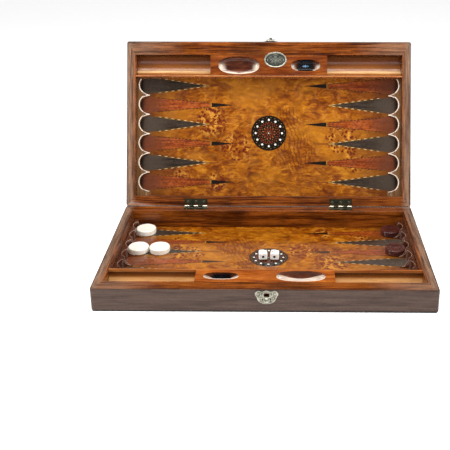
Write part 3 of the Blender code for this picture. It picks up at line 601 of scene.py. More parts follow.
def burl():
    """Burl veneer: golden, with clusters of dark eyes, swirls round them and a curly patch. The field turns
    darker towards the box's ends."""
    look = Look("burl")
    near = spot_mask(look, BURL_CLUSTERS)
    figure = look.noise((46, 84, 60), 9, 0.64, 1.0, offset=(0.3, 0.1, 0))
    base = look.ramp(figure, list(zip((0.36, 0.46, 0.54, 0.66), shades(*BURL_TONES))))
    wisps = look.noise((70, 230, 70), 6, 0.65, 1.2)
    base = look.mix(look.levels(wisps, 0.48, 0.62, 0, 0.7), base, srgb(98, 42, 4))
    drift = look.noise((9, 13, 9), 3, distortion=0.8)
    base = look.mix(look.levels(drift, 0.46, 0.62, 0, 0.45), base, srgb(182, 116, 24))
    x, y, _ = look.axes()
    warp = look.noise(38, 4, distortion=0.6)
    phase = look.times(warp, 26.0, look.times(x, 900.0, look.times(y, 260.0)))
    curl = look.times(look.levels(look.math("SINE", phase), 0.1, 0.95), spot_mask(look, BURL_CURLS))
    base = look.mix(look.times(curl, 0.74), base, srgb(90, 38, 3))
    cells = {"Vector": look.pushed(70, 12 * MM), "Scale": 185}
    eye_distance = look.node("TexVoronoi", cells).outputs["Distance"]
    eyes = look.levels(eye_distance, 0.62, 0.28)
    rings = look.levels(look.math("SINE", look.times(eye_distance, 24.0)), 0.0, 0.8)
    glow = look.levels(look.noise(90, 4, distortion=1.0), 0.46, 0.62)
    base = look.mix(look.times(glow, look.times(near, 0.8)), base, srgb(226, 160, 58))
    base = look.mix(look.times(rings, look.times(near, 0.6)), base, srgb(128, 52, 10))
    patches = look.levels(look.noise(75, 3), 0.34, 0.46)
    dark_eyes = look.times(eyes, look.times(look.levels(near, 0.08, 0.5), patches))
    base = look.mix(dark_eyes, base, srgb(92, 26, 6))
    # darker towards the box's ends
    ends = look.levels(look.reach(), 118 * MM, INNER_X - 4 * MM, 0, 0.75)
    colour = look.mix(ends, base, srgb(96, 48, 16))
    rough = look.levels(look.noise(50, 4), 0.3, 0.75, 0.16, 0.34)
    normal = look.bump(look.times(dark_eyes, -0.6, figure), 0.1, 0.15 * MM)
    look.finish(colour, rough, normal, Coat_Weight=0.2, Coat_Roughness=0.07, IOR=1.42)


def inlay_wood(name, *tones, mottle=0.0):
    """Dyed veneer of the points from a dark, a light and a head tone: streaks and flecks along the point,
    and darker towards its head, where it meets the recess wall in a near-black painted shadow."""
    look = Look(name)
    dark, light, head = shades(*tones)
    broad, fine, pore = streaked(look, (12, 260, 260))
    mixed = look.times(fine, 0.5, look.times(broad, 0.6))
    colour = look.mix(look.levels(mixed, 0.4, 0.68), dark, light)
    fleck = look.noise((170, 240, 170), 5, 0.65, 0.8)
    colour = look.mix(look.levels(fleck, 0.46, 0.6, 0, mottle), colour, dark)
    colour = look.mix(look.levels(fleck, 0.44, 0.34, 0, mottle * 0.5), colour, light)
    reach = look.reach()
    colour = look.mix(look.levels(reach, 165 * MM, 212 * MM, 0, 0.85), colour, head)
    # painted shadow: the point goes near-black where it meets the recess wall
    foot = look.levels(reach, INNER_X - 12 * MM, INNER_X - 5 * MM, 0, 0.9)
    varnished(look, look.mix(foot, colour, srgb(14, 9, 7)), mixed, pore, 0.24)


def metal(name, bright, dark, roughness, patina):
    """Old cast metal: bright where it is rubbed, dark patina in spots."""
    look = Look(name)
    spots = look.noise(420, 5, 0.65)
    broad = look.noise(90, 3)
    share = look.levels(look.times(broad, 0.5, look.times(spots, 0.6)), 0.45, 0.72)
    colour = look.mix(look.times(share, patina), (*bright, 1), (*dark, 1))
    rough = look.levels(spots, 0.3, 0.75, roughness * 0.8, roughness * 1.6)
    look.finish(colour, rough, look.bump(spots, 0.35, 0.12 * MM), Metallic=1.0)


def polished(name, *tones, roughness=0.2, scale=160, coat=0.3):
    """A smooth polished material with faint clouds, used for checkers, dice and small inlays."""
    look = Look(name)
    cloud = look.noise((scale, scale * 2.5, scale), 5)
    colour = look.mix(look.levels(cloud, 0.35, 0.75), *shades(*tones))
    rough = look.levels(cloud, 0.3, 0.8, roughness * 0.8, roughness * 1.4)
    look.finish(colour, rough, look.bump(cloud, 0.06, 0.1 * MM), Coat_Weight=coat, Coat_Roughness=0.06)


def make_looks():
    walnut()
    burl()
    for half in ("base", "lid"):
        trough_wood(half)
        well_wood(half)
    # The lid's strip wood is lighter than the base's: the same wood as a lit and a shaded copy.
    plain_wood("lid_strip_wood", (78, 48, 24), (116, 80, 46), (146, 108, 66))
    plain_wood("base_strip_wood", (40, 16, 8), (72, 34, 18), (112, 66, 40))
    # Painted highlights for the lips of the recesses and of the base's wells.
    plain_wood("tan_highlight", (122, 84, 66), (166, 128, 108), (206, 176, 158))
    plain_wood("pale_cut", (222, 196, 170), (244, 230, 214), (255, 248, 238))
    plain_wood("lid_block_wood", (66, 20, 2), (108, 47, 7), (150, 80, 24), scale=(20, 130, 130))
    plain_wood("block_wood", (92, 32, 4), (146, 70, 14), (190, 108, 36), scale=(20, 130, 130))
    plain_wood("divider_wood", (120, 58, 20), (168, 98, 44), (206, 146, 86))
    plain_wood("dark_checker", (40, 14, 12), (70, 30, 26), (98, 50, 42), scale=(30, 160, 160))
    inlay_wood("black_point", (30, 20, 12), (66, 55, 46), (80, 67, 56), mottle=0.45)
    inlay_wood("red_point", (94, 31, 6), (166, 82, 26), (106, 57, 34), mottle=0.7)
    inlay_wood("point_band", (110, 78, 24), (160, 116, 44), (80, 56, 30))
    inlay_wood("thin_tip", (84, 34, 10), (124, 58, 20), (84, 34, 10))
    polished("ebony", (16, 9, 5), (34, 20, 12))
    polished("pale_dash", (204, 180, 140), (168, 144, 104))
    polished("pearl", (250, 248, 238), (214, 220, 214))
    polished("rosette_red", (94, 26, 6), (130, 54, 18))
    polished("rosette_rose", (162, 94, 50), (120, 56, 24))
    polished("rosette_olive", (120, 104, 52), (84, 66, 30))
    polished("black_plate", (14, 14, 17), (26, 26, 31))
    polished("blue_mark", (150, 190, 226), (110, 152, 196))
    polished("light_checker", (252, 248, 236), (242, 232, 212), roughness=0.24, scale=60)
    polished("die", (250, 249, 244), (240, 238, 230), roughness=0.16, scale=60)
    # near-black for the painted contact shadow round the base's foot
    polished("foot_band", (7, 4, 3), (14, 9, 7), roughness=0.7, scale=300, coat=0.0)
    metal("pewter", (0.57, 0.54, 0.44), (0.16, 0.16, 0.12), 0.32, 0.5)
    metal("pewter_ground", (0.26, 0.25, 0.2), (0.05, 0.05, 0.035), 0.45, 0.7)
    metal("badge_ground", (0.13, 0.135, 0.11), (0.03, 0.04, 0.035), 0.4, 0.8)
    metal("badge_relief", (0.42, 0.42, 0.35), (0.13, 0.14, 0.11), 0.36, 0.6)
    metal("hinge_bronze", (0.09, 0.085, 0.05), (0.014, 0.018, 0.012), 0.42, 0.75)
    # bright metal for the base's knuckles, a painted highlight
    metal("knuckle_brass", (0.94, 0.9, 0.72), (0.5, 0.45, 0.28), 0.28, 0.4)
    metal("screw_brass", (0.2, 0.19, 0.13), (0.05, 0.05, 0.035), 0.38, 0.7)


# --- the frame of one half ---------------------------------------------------------------------

HINGE_EDGE = 0.27 * MM
GLUE_HALF_WIDTH = 0.7 * MM
GLUE_INSET = 1.3 * MM


def close_hinge_edge(mesh):
    """Squares the back rail's outer top edge between the hinges, where the two halves meet."""
    for vertex in mesh.vertices:
        x, y, z = vertex.co
        at_hinge = abs(abs(x) - HINGE_X) < HINGE_LENGTH / 2 - 0.1 * MM
        at_edge = y > HALF_D - 1.5 * MM and z > RIM_Z - 1.45 * MM
        if at_edge and not at_hinge:
            vertex.co.y = HALF_D + HINGE_EDGE
            vertex.co.z = RIM_Z + HINGE_EDGE


def build_glue_lines(half):
    """The glue in the four mitres, a hair under the surface."""
    bm = bmesh.new()
    for sx in (-1, 1):
        for outer_y, inner_y in ((-HALF_D, RAIL_HIGH.y), (HALF_D, HALF_D - BACK_RAIL)):
            start = Vector((sx * HALF_L, outer_y))
            end = Vector((sx * INNER_X, inner_y))
            along = (end - start).normalized()
            aside = Vector((-along.y, along.x)) * GLUE_HALF_WIDTH
            start, end = start + along * GLUE_INSET, end - along * 0.3 * MM
            corners = [start - aside, end - aside, end + aside, start + aside]
            add_prism(bm, [tuple(corner) for corner in corners], 0.6 * MM, RIM_Z - 0.12 * MM)
    piece(half + "_glue_lines", mesh_from(bm), half, "walnut", grain=45)


def build_rails(half):
    """The rails keep the CAD's own shape, with smooth shading and grain along each rail."""
    for index, (side, grain) in enumerate((("front", 0), ("back", 0), ("left", 90), ("right", 90))):
        node = f"{half}_{side}_rail"
        mesh = adopted(node, half)
        if side == "back":
            close_hinge_edge(mesh)
        seed = 1.7 * index + (5.3 if half == "lid" else 0.0)
        piece(node + "_wood", smooth(mesh, 32), half, "walnut", node, grain, seed)
    build_glue_lines(half)


def build_foot_shadow_band():
    """A near-black band round the base's foot: a painted contact shadow."""
    corner, width, height, foot = 3.5 * MM, 3 * MM, 2.2 * MM, 0.05 * MM
    rings = []
    for inset, z in ((0, foot), (0, height), (width, height), (width, foot), (0, foot)):
        ring = []
        for sx, sy, start in ((1, 1, 0), (-1, 1, 90), (-1, -1, 180), (1, -1, 270)):
            middle = (sx * (HALF_L - corner - inset), sy * (HALF_D - corner - inset))
            ring += [(x, y, z) for x, y in arc(middle, corner, start, start + 90, 8)]
        rings.append(ring)
    piece("base_foot_shadow_band", smooth(solid(add_rings, rings, False)), "base", "foot_band")


def build_panel(half):
    node = half + "_floor_panel"
    piece(node + "_veneer", smooth(adopted(node, half)), half, "burl", node)
    node = half + "_divider"
    mesh = smooth(adopted(node, half))
    piece(node + "_slat", mesh, half, "divider_wood", node, seed=2.0)


def strip_profile():
    """Across a scalloped strip: y from the side rail into the field, z up, with a hollow front."""
    gap = STRIP_LOW.x + INNER_X
    foot, top = STRIP_LOW.z, STRIP_HIGH.z
    steps = 18
    profile = [(gap, foot), (STRIP_WIDTH, foot)]
    for i in range(steps + 1):
        angle = math.radians(90 * (1 - i / steps))
        y = STRIP_WIDTH - (STRIP_WIDTH - STRIP_TOP_WIDTH) * math.cos(angle)
        z = top - (top - foot - STRIP_TOE) * math.sin(angle)
        profile.append((y, z))
    profile.append((gap, top))
    return profile


def strip_height(inset):
    """The strip's own height at a distance from the side rail: a flat top, then a hollow front."""
    foot, top = STRIP_LOW.z, STRIP_HIGH.z
    if inset <= STRIP_TOP_WIDTH:
        return top
    share = min(1.0, (STRIP_WIDTH - inset) / (STRIP_WIDTH - STRIP_TOP_WIDTH))
    return top - (top - foot - STRIP_TOE) * math.sqrt(max(0.0, 1 - share * share))


def recess_centres(offset):
    """Where the recesses of a strip are, along the strip."""
    return [(k - (ROWS - 1) / 2) * POINT_PITCH + offset for k in range(ROWS)]


def recess_lip_highlights(offset, thick):
    """A bead along the edge of each recess that carries a painted highlight, swelling towards the back of
    the recess.
    """
    reach = STRIP_HIGH.y - FIELD_MID
    deepest = RECESS_INSET - RECESS_RADIUS
    bm = bmesh.new()
    for along in recess_centres(offset):
        path = []
        radii = []
        for x, y in arc((along, RECESS_INSET), RECESS_RADIUS + 0.2 * MM, -180, 0, 72):
            if y < STRIP_WIDTH - 1.2 * MM and abs(x) < reach - 1 * MM:
                share = max(0.0, 1 - (y - deepest) / (STRIP_WIDTH - deepest))
                radius = thick * (0.45 + 0.55 * share)
                path.append(Vector((x, y, strip_height(y) + LIP_RISE * thick - radius)))
                radii.append(radius)
        add_bead(bm, path, radii)
    mesh = mesh_from(bm)
    for polygon in mesh.polygons:
        polygon.material_index = 1
    return mesh


def build_strips(half):
    """Scalloped strips: varnished wood with a bead of painted highlight along the lip of each recess, pale
    on the lid and tan on the base.
    """
    length = STRIP_HIGH.y - STRIP_LOW.y
    # the lips carry a painted highlight, pale on the lid and tan on the base
    looks = (half + "_strip_wood", "pale_cut" if half == "lid" else "tan_highlight")
    for side in (-1, 1):
        offset = side * (ROWS_MID - FIELD_MID)
        bm = bmesh.new()
        for along in recess_centres(offset):
            circle = arc((along, RECESS_INSET), RECESS_RADIUS, 0, 360 - 360 / 72, 71)
            add_prism(bm, circle, -HALF_D, HALF_D)
        mesh = cut(prism_along_x(strip_profile(), length), mesh_from(bm))
        mesh = smooth(joined(mesh, recess_lip_highlights(offset, LIP_RADIUS[half])), 50)
        mesh.transform(shift(side * INNER_X, FIELD_MID) @ turn_about("Z", 90 * side))
        node = f"{half}_{seen_side(half, side)}_scalloped_strip"
        piece(node + "_wood", mesh, half, looks, node, 90, 3.1 + side)


def seen_side(half, side):
    """Left or right as seen from the front of the open box; the lid is turned face to face."""
    mirrored = -side if half == "lid" else side
    return "left" if mirrored < 0 else "right"


# --- the storage row ---------------------------------------------------------------------------


def build_troughs(half):
    length = TROUGH_HIGH.x - TROUGH_LOW.x
    half_width = (TROUGH_HIGH.y - TROUGH_LOW.y) / 2
    profile = [(-half_width, TROUGH_LOW.z), (half_width, TROUGH_LOW.z), (half_width, GUTTER_AXIS_Z)]
    profile += arc((0, GUTTER_AXIS_Z), GUTTER_RADIUS, 0, -180, 48)
    profile.append((-half_width, GUTTER_AXIS_Z))
    middle = (TROUGH_LOW.x + TROUGH_HIGH.x) / 2
    for side in (-1, 1):
        mesh = smooth(prism_along_x(profile, length))
        mesh.transform(shift(-side * middle, STORAGE_MID))
        node = f"{half}_{seen_side(half, side)}_trough"
        piece(node + "_gutter", mesh, half, half + "_trough_wood", node, seed=4.0 + side)


def well_mesh(length, width, floor_share):
    """The hollow of a finger well: an upright oval that rounds in to a flat floor."""
    count, steps = 96, 20
    upright = 0.25
    rings = [(2 * MM, 1.0), (-upright * WELL_DEPTH, 1.0)]
    for i in range(1, steps + 1):
        angle = math.pi / 2 * i / steps
        depth = WELL_DEPTH * (upright + (1 - upright) * math.sin(angle))
        rings.append((-depth, floor_share + (1 - floor_share) * math.cos(angle)))
    points = [[(x, y, z) for x, y in oval(length * s, width * s, count, WELL_POWER)] for z, s in rings]
    return solid(add_rings, points)


def build_block(half):
    """The block between the troughs with its wells; the lid's has a seat for the badge."""
    outline = [(BLOCK_LOW.x, BLOCK_LOW.y), (BLOCK_HIGH.x, BLOCK_LOW.y)]
    outline += [(BLOCK_HIGH.x, BLOCK_HIGH.y), (BLOCK_LOW.x, BLOCK_HIGH.y)]
    mesh = solid(add_prism, outline, BLOCK_LOW.z, BLOCK_TOP)
    for x, length, width, floor_share in (LARGE_WELL, SMALL_WELL):
        hollow = well_mesh(length, width, floor_share)
        hollow.transform(shift(x, STORAGE_MID, BLOCK_TOP))
        mesh = cut(mesh, hollow)
    if half == "lid":
        seat = oval(BADGE_SIZE[0] + 0.6 * MM, BADGE_SIZE[1] + 0.6 * MM, 64)
        place = shift(BADGE_X, BADGE_Y, BLOCK_TOP)
        mesh = cut(mesh, solid(add_prism, seat, -BADGE_RECESS, BADGE_RECESS, place))
    for polygon in mesh.polygons:
        x, y, z = polygon.center
        middle, length, width, _ = LARGE_WELL if x > 0 else SMALL_WELL
        inside = abs(x - middle) < length / 2 and abs(y - STORAGE_MID) < width / 2
        polygon.material_index = 1 if inside and BLOCK_LOW.z + 5 * MM < z < BLOCK_TOP - 0.1 * MM else 0
    node = half + "_storage_block"
    looks = ("lid_block_wood" if half == "lid" else "block_wood", half + "_well_wood")
    piece(node + "_wood", smooth(mesh, 40), half, looks, node, seed=6.0)
    if half == "base":
        build_well_lip_highlights()
    build_well_lining(half)


def build_well_lip_highlights():
    """A pale bead along the near edge of the base's wells, a painted highlight, thickest in the middle."""
    bm = bmesh.new()
    for x, length, width, _ in (LARGE_WELL, SMALL_WELL):
        path = []
        radii = []
        for px, py in oval(length, width, 96, WELL_POWER):
            if py < -0.1 * MM:
                radius = (0.25 + 1.35 * min(1.0, -2 * py / width)) * MM
                path.append(Vector((x + px, STORAGE_MID + py, BLOCK_TOP + 0.2 * MM - radius)))
                radii.append(radius)
        add_bead(bm, path, radii)
    piece("base_well_lip_highlights", smooth(mesh_from(bm), 60), "base", "pale_cut", seed=3.0)


def build_well_lining(half):
    """The dark lining of the small well, with a generic mark of three bars and two dots."""
    node = half + "_well_plate"
    low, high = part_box("base_well_plate")
    mesh = rounded(adopted(node, half), 0.2 * MM, 2, 50)
    piece(node + "_lining", smooth(mesh, 45), half, "black_plate", node)
    level = low.z + 0.9 * MM
    centre_x = (low.x + high.x) / 2
    marks = [(k * 2.6 * MM, oval(1.5 * MM, (4.4 - 1.2 * abs(k)) * MM, 24, 4)) for k in (-1, 0, 1)]
    marks += [(k * 5.0 * MM, oval(1.3 * MM, 1.3 * MM, 20)) for k in (-1, 1)]
    bm = bmesh.new()
    for x, outline in marks:
        add_prism(bm, outline, level - 0.05 * MM, level + 0.12 * MM, shift(centre_x + x, STORAGE_MID))
    piece(node + "_mark", smooth(mesh_from(bm)), half, "blue_mark")


# --- marquetry ---------------------------------------------------------------------------------

INLAY = 0.1 * MM
INLAY_DEPTH = 0.3 * MM
HEAD_X = INNER_X - 18.2 * MM
HEAD_HALF = 14.2 * MM
POINT_TIP = 62 * MM
RED_END = 103 * MM
SPEAR_START = 101 * MM
BLACK_END = 110 * MM
BLACK_STOP = BLACK_END - 5 * MM
BAND = 1.5 * MM


def taper(x, end):
    """Half the width at distance x from the middle of the box, of a point that runs out at end."""
    return HEAD_HALF * max(0.0, x - end) / (HEAD_X - end)


def point_outline(end, stop, extra=0.0):
    """Outline of a point on the +X side along Y=0, from its round head down to stop."""
    steps = 14
    outline = arc((HEAD_X, 0), HEAD_HALF, -90, 90, 24)
    side = []
    for i in range(1, steps + 1):
        x = HEAD_X + (stop - HEAD_X) * i / steps
        fade = min(1.0, (HEAD_X - x) / (30 * MM))
        side.append((x, taper(x, end) + extra * fade))
    if side[-1][1] < 0.05 * MM:
        return outline + side[:-1] + [(stop, 0.0)] + [(x, -y) for x, y in reversed(side[:-1])]
    return outline + side + [(x, -y) for x, y in reversed(side)]


def add_flat(bm, outline, spot, lift=INLAY):
    """A thin inlay plate let into the panel; the spot says which side and which row."""
    side, y = spot
    add_prism(bm, outline, -INLAY_DEPTH, lift, shift(0, y, FLOOR_Z) @ Matrix.Diagonal((side, 1, 1, 1)))


def add_dashes(layers, names, spot, end, start, stop, pitch, inset):
    """Short stitches along both edges of a point, in turn from the named layers."""
    length, width = pitch * 0.74, 0.8 * MM
    count = 0
    x = start
    while x + length < stop:
        for edge in (-1, 1):
            near, far = taper(x, end) + inset, taper(x + length, end) + inset
            outline = [(x, edge * near), (x + length, edge * far)]
            outline.append((x + length * 0.85, edge * (far + width)))
            outline.append((x - length * 0.15, edge * (near + width)))
            add_flat(layers[names[count % len(names)]], outline, spot, INLAY * 1.4)
        count += 1
        x += pitch


def add_spear(bm, spot, start, width):
    """The fine tip that a point ends in."""
    shoulder = start - 9 * MM
    outline = [(POINT_TIP, 0), (shoulder, -width * 0.86), (start, -width)]
    outline += [(start, width), (shoulder, width * 0.86)]
    add_flat(bm, outline, spot)


def add_black_point(layers, spot):
    add_flat(layers["band"], point_outline(BLACK_END, BLACK_STOP, BAND), spot, INLAY * 0.5)
    add_flat(layers["black_point"], point_outline(BLACK_END, BLACK_END), spot)
    add_spear(layers["thin_tip"], spot, BLACK_STOP, 1.0 * MM)
    run = (BLACK_END, BLACK_END + 2 * MM, HEAD_X - 14 * MM, 5.6 * MM, BAND - 0.9 * MM)
    add_dashes(layers, ("pale_dash", "ebony"), spot, *run)


def add_red_point(layers, spot):
    add_flat(layers["band"], point_outline(POINT_TIP, SPEAR_START), spot, INLAY * 0.5)
    add_flat(layers["red_point"], point_outline(POINT_TIP, RED_END, -0.5 * MM), spot)
    add_spear(layers["ebony"], spot, SPEAR_START, taper(SPEAR_START, POINT_TIP))
    run = (POINT_TIP, RED_END + 3 * MM, HEAD_X - 10 * MM, 6.2 * MM, -0.9 * MM)
    add_dashes(layers, ("ebony",), spot, *run)


def build_points(half):
    """Twelve points: charcoal ones with a stitched band, red ones that end in a black spear."""
    names = ("band", "black_point", "red_point", "thin_tip", "ebony", "pale_dash")
    layers = {name: bmesh.new() for name in names}
    for side in (-1, 1):
        for row in range(ROWS):
            y = ROWS_MID + ((ROWS - 1) / 2 - row) * POINT_PITCH
            add = add_black_point if (row % 2 == 0) == (side < 0) else add_red_point
            add(layers, (side, y))
    for name, bm in layers.items():
        look = "point_band" if name == "band" else name
        piece(f"{half}_{name}_inlay", mesh_from(bm), half, look, seed=7.0)


ROSETTE_RINGS = (
    ("pearl", 12, 23.2, 3.5, 3.5, 0.0, 2.0),
    ("rosette_olive", 24, 27.4, 1.8, 1.6, 7.5, 2.0),
    ("rosette_rose", 24, 19.2, 1.7, 1.7, 0.0, 1.2),
    ("rosette_red", 24, 16.2, 4.2, 2.4, 7.5, 1.6),
    ("rosette_olive", 12, 12.9, 2.0, 2.0, 0.0, 1.2),
    ("rosette_rose", 12, 10.2, 4.0, 2.2, 15.0, 1.6),
    ("rosette_red", 12, 6.8, 4.2, 2.4, 0.0, 1.6),
    ("rosette_rose", 6, 3.4, 3.0, 1.8, 0.0, 1.6),
    ("pearl", 1, 0.0, 1.8, 1.8, 0.0, 2.0),
)


def ring_spots(count, radius, start):
    """Placements round a circle, each turned to face outwards."""
    for i in range(count):
        angle = 2 * math.pi * i / count + start
        turned = Matrix.Rotation(angle, 4, "Z")
        yield shift(radius * math.cos(angle), radius * math.sin(angle)) @ turned


def build_rosette(half):
    """A black disc with pearl dots, a ring of petals, small lozenges and a flower. The table gives
    each ring's look, count, radius, length, width, start angle and how round its pieces are."""
    node = half + "_rosette"
    radius = (ROSETTE_HIGH.x - ROSETTE_LOW.x) / 2
    box_low, box_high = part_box(node)
    across = (box_low.x + box_high.x) / 2
    centre = shift(across if half == "base" else -across, ROSETTE_Y, FLOOR_Z)
    profile = [(0.0001 * MM, 0.02 * MM), (radius - 0.15 * MM, 0.02 * MM), (radius, -0.1 * MM)]
    profile += [(radius, -0.9 * MM), (0.0001 * MM, -0.9 * MM)]
    disc = smooth(solid(add_turned, profile, centre, 96), 30)
    piece(node + "_disc", disc, half, "ebony", node)
    layers = {}
    for name, count, at, length, width, start, power in ROSETTE_RINGS:
        bm = layers.setdefault(name, bmesh.new())
        for spot in ring_spots(count, at * MM, math.radians(start)):
            outline = oval(length * MM, width * MM, 20, power)
            add_prism(bm, outline, -INLAY_DEPTH, INLAY, centre @ spot)
    for name, bm in layers.items():
        piece(f"{node}_{name}", mesh_from(bm), half, name)


# --- badge -------------------------------------------------------------------------------------

BADGE_THICKNESS = 1.1 * MM
BADGE_RIM_REACH = 0.86


def build_badge():
    """An oval badge: raised rim, dark sunk ground and a generic scroll and leaf relief."""
    place = shift(BADGE_X, BADGE_Y, BLOCK_TOP - BADGE_RECESS + 0.3 * MM)
    length, width = BADGE_SIZE
    rings = []
    for inset, z in ((0, 0), (0, 0.75), (0.25, 1.02), (0.7, 1.1), (1.5, 1.05), (2.1, 0.6), (2.6, 0.45)):
        ring = oval(length - 2 * inset * MM, width - 2 * inset * MM, 96)
        rings.append([(x, y, z * MM) for x, y in ring])
    mesh = solid(add_rings, rings)
    mesh.transform(place)
    mesh = smooth(mesh, 50)
    for polygon in mesh.polygons:
        x, y, _ = polygon.center
        reach = math.hypot((x - BADGE_X) / (length / 2), (y - BADGE_Y) / (width / 2))
        polygon.material_index = 1 if reach < BADGE_RIM_REACH else 0
    piece("lid_badge_plate", mesh, "lid", ("pewter", "badge_ground"), "lid_badge")
    relief = wire_mesh(badge_paths(), 0.42 * MM)
    relief.transform(place @ shift(0, 0, 0.62 * BADGE_THICKNESS))
    piece("lid_badge_relief", smooth(relief, 60), "lid", "badge_relief")


def spiral(x, y, radius, start, turns):
    """A scroll that winds in to its centre and thins on the way; negative turns go the other way."""
    count = 9
    points = []
    for i in range(count):
        share = i / (count - 1)
        angle = math.radians(start) + turns * 2 * math.pi * share
        reach = radius * (1 - 0.82 * share)
        points.append((x + reach * math.cos(angle), y + reach * math.sin(angle), 1.0 - 0.5 * share))
    return points


def badge_paths():
    """Two scrolls and a leaf on each side, five stems between them and a tie below."""
    paths = []
    for sign in (-1, 1):
        start = 180 if sign > 0 else 0
        paths.append((spiral(sign * 7.6 * MM, 3.4 * MM, 3.6 * MM, start, 1.3 * sign), False))
        paths.append((spiral(sign * 7.6 * MM, -3.6 * MM, 3.4 * MM, start, -1.3 * sign), False))
        leaf = [(sign * 12 * MM, -4 * MM, 0.4), (sign * 13.6 * MM, 0, 1.3), (sign * 12 * MM, 4 * MM, 0.4)]
        paths.append((leaf, False))
    for k in range(5):
        x = (k - 2) * 2.3 * MM
        top = (6.6 - 0.9 * abs(k - 2)) * MM
        paths.append(([(x * 0.3, -6.4 * MM, 0.5), (x * 0.9, 0, 1.25), (x, top, 0.4)], False))
    paths.append(([(-5 * MM, -7.6 * MM, 0.6), (0, -8.6 * MM, 1.2), (5 * MM, -7.6 * MM, 0.6)], False))
    return paths


# --- hinges ------------------------------------------------------------------------------------

OWN_KNUCKLES = {"base": (0, 2, 4), "lid": (1, 3)}
KNUCKLES = 5
KNUCKLE_PITCH = HINGE_LENGTH / KNUCKLES
KNUCKLE_GAP = 0.3 * MM
KNUCKLE_RADIUS = 2.2 * MM
KNUCKLE_BORE = 1.2 * MM
LEAF_WIDTH = 13 * MM
LEAF_CORNER = 1 * MM
LEAF_THICKNESS = 1.2 * MM
LEAF_TOP = RIM_Z - 0.3 * MM
SCREW_SPACING = 14 * MM
SCREW_Y = HINGE_AXIS.y - 7.5 * MM
ON_AXIS = 0.01 * MM


def on_hinge(x):
    """Placement on the hinge axis: local Z along it."""
    return shift(x, HINGE_AXIS.y, HINGE_AXIS.z) @ turn_about("Y", 90)


def add_barrel(bm, x):
    """One knuckle: a short tube round the hinge axis with softened ends."""
    soft = 0.25 * MM
    end = (KNUCKLE_PITCH - KNUCKLE_GAP) / 2
    profile = [(KNUCKLE_BORE, -end), (KNUCKLE_RADIUS - soft, -end), (KNUCKLE_RADIUS, -end + soft)]
    profile += [(KNUCKLE_RADIUS, end - soft), (KNUCKLE_RADIUS - soft, end), (KNUCKLE_BORE, end)]
    add_turned(bm, profile, on_hinge(x), 32)


def leaf_outline(x, own):
    """A leaf with deep notches where the other leaf's knuckles turn."""
    back = HINGE_AXIS.y - KNUCKLE_RADIUS * 0.7
    notch = HINGE_AXIS.y - KNUCKLE_RADIUS - 2.0 * MM
    front = HINGE_AXIS.y - LEAF_WIDTH
    half_length = HINGE_LENGTH / 2
    outline = [(x + half_length, front + LEAF_CORNER)]
    for k in reversed(range(KNUCKLES)):
        high = back if k in own else notch
        right = x - half_length + (k + 1) * KNUCKLE_PITCH - KNUCKLE_GAP / 2
        left = right - KNUCKLE_PITCH + KNUCKLE_GAP
        outline += [(right, high), (left, high)]
    outline.append((x - half_length, front + LEAF_CORNER))
    outline.append((x - half_length + LEAF_CORNER, front))
    outline.append((x + half_length - LEAF_CORNER, front))
    return outline


def hinge_leaf(x, own):
    """A leaf with three sunk screw holes."""
    leaf = rounded(solid(add_prism, leaf_outline(x, own), LEAF_TOP - LEAF_THICKNESS, LEAF_TOP), 0.15 * MM, 2)
    sink = mm([(0.01, 0.5), (3.1, 0.5), (2.5, 0), (1.3, -1.6), (0.01, -1.6)])
    sinks = bmesh.new()
    for k in (-1, 0, 1):
        add_turned(sinks, sink, shift(x + k * SCREW_SPACING, SCREW_Y, LEAF_TOP), 32)
    return smooth(cut(leaf, mesh_from(sinks)))


def build_hinge_half(half, x):
    seen = seen_side(half, x)
    own = OWN_KNUCKLES[half]
    node = f"{seen}_hinge_{half}_leaf"
    piece(node + "_plate", hinge_leaf(x, own), half, "hinge_bronze", node)
    bm = bmesh.new()
    for k in own:
        add_barrel(bm, x - HINGE_LENGTH / 2 + (k + 0.5) * KNUCKLE_PITCH)
    # painted highlight: the base's knuckles are a bright metal, while the lid's keep the leaves' dark bronze
    look = "knuckle_brass" if half == "base" else "hinge_bronze"
    piece(node + "_knuckles", smooth(mesh_from(bm)), half, look)
    build_screws(half, seen, x)


def build_pin(x):
    node = seen_side("base", x) + "_hinge_pin"
    end = HINGE_LENGTH / 2
    profile = [(ON_AXIS, -end), (0.6 * MM, -end), (0.9 * MM, -end + 0.3 * MM)]
    profile += [(0.9 * MM, end - 0.3 * MM), (0.6 * MM, end), (ON_AXIS, end)]
    mesh = smooth(solid(add_turned, profile, on_hinge(x), 24))
    piece(node + "_rod", mesh, "base", "screw_brass", node)


def build_screws(half, seen, x):
    """Countersunk screws with a turned slot each."""
    profile = mm([(0.01, 0), (2.0, 0), (2.3, -0.15), (1.1, -1.3), (1.1, -9), (0.01, -10)])
    slot = mm([(-3, -0.3), (3, -0.3), (3, 0.3), (-3, 0.3)])
    for k in (-1, 0, 1):
        number = k + 2 if half == "base" else 2 - k
        node = f"{seen}_hinge_{half}_screw_{number}"
        turn = turn_about("Z", 35 + 47 * k + (20 if x > 0 else 0))
        screw = solid(add_turned, profile, shift(), 32)
        screw = cut(screw, solid(add_prism, slot, -0.5 * MM, 1 * MM, turn))
        screw.transform(shift(x + k * SCREW_SPACING, SCREW_Y, LEAF_TOP))
        piece(node + "_turned", smooth(screw), half, "screw_brass", node)


def build_hinges():
    for half in ("base", "lid"):
        for x in (-HINGE_X, HINGE_X):
            build_hinge_half(half, x)
    for x in (-HINGE_X, HINGE_X):
        build_pin(x)


# --- latch -------------------------------------------------------------------------------------

LATCH_X = 3 * MM
SLOT_Z = 28 * MM
CATCH_LOW, CATCH_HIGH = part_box("catch_plate")
CATCH_BOTTOM = CATCH_LOW.z
CATCH_HEIGHT = CATCH_HIGH.z - CATCH_LOW.z
BOSS = mm([(0.01, 0.75), (0.9, 0.68), (1.7, 0.42), (2.2, 0.0), (2.2, -0.3), (0.01, -0.3)])


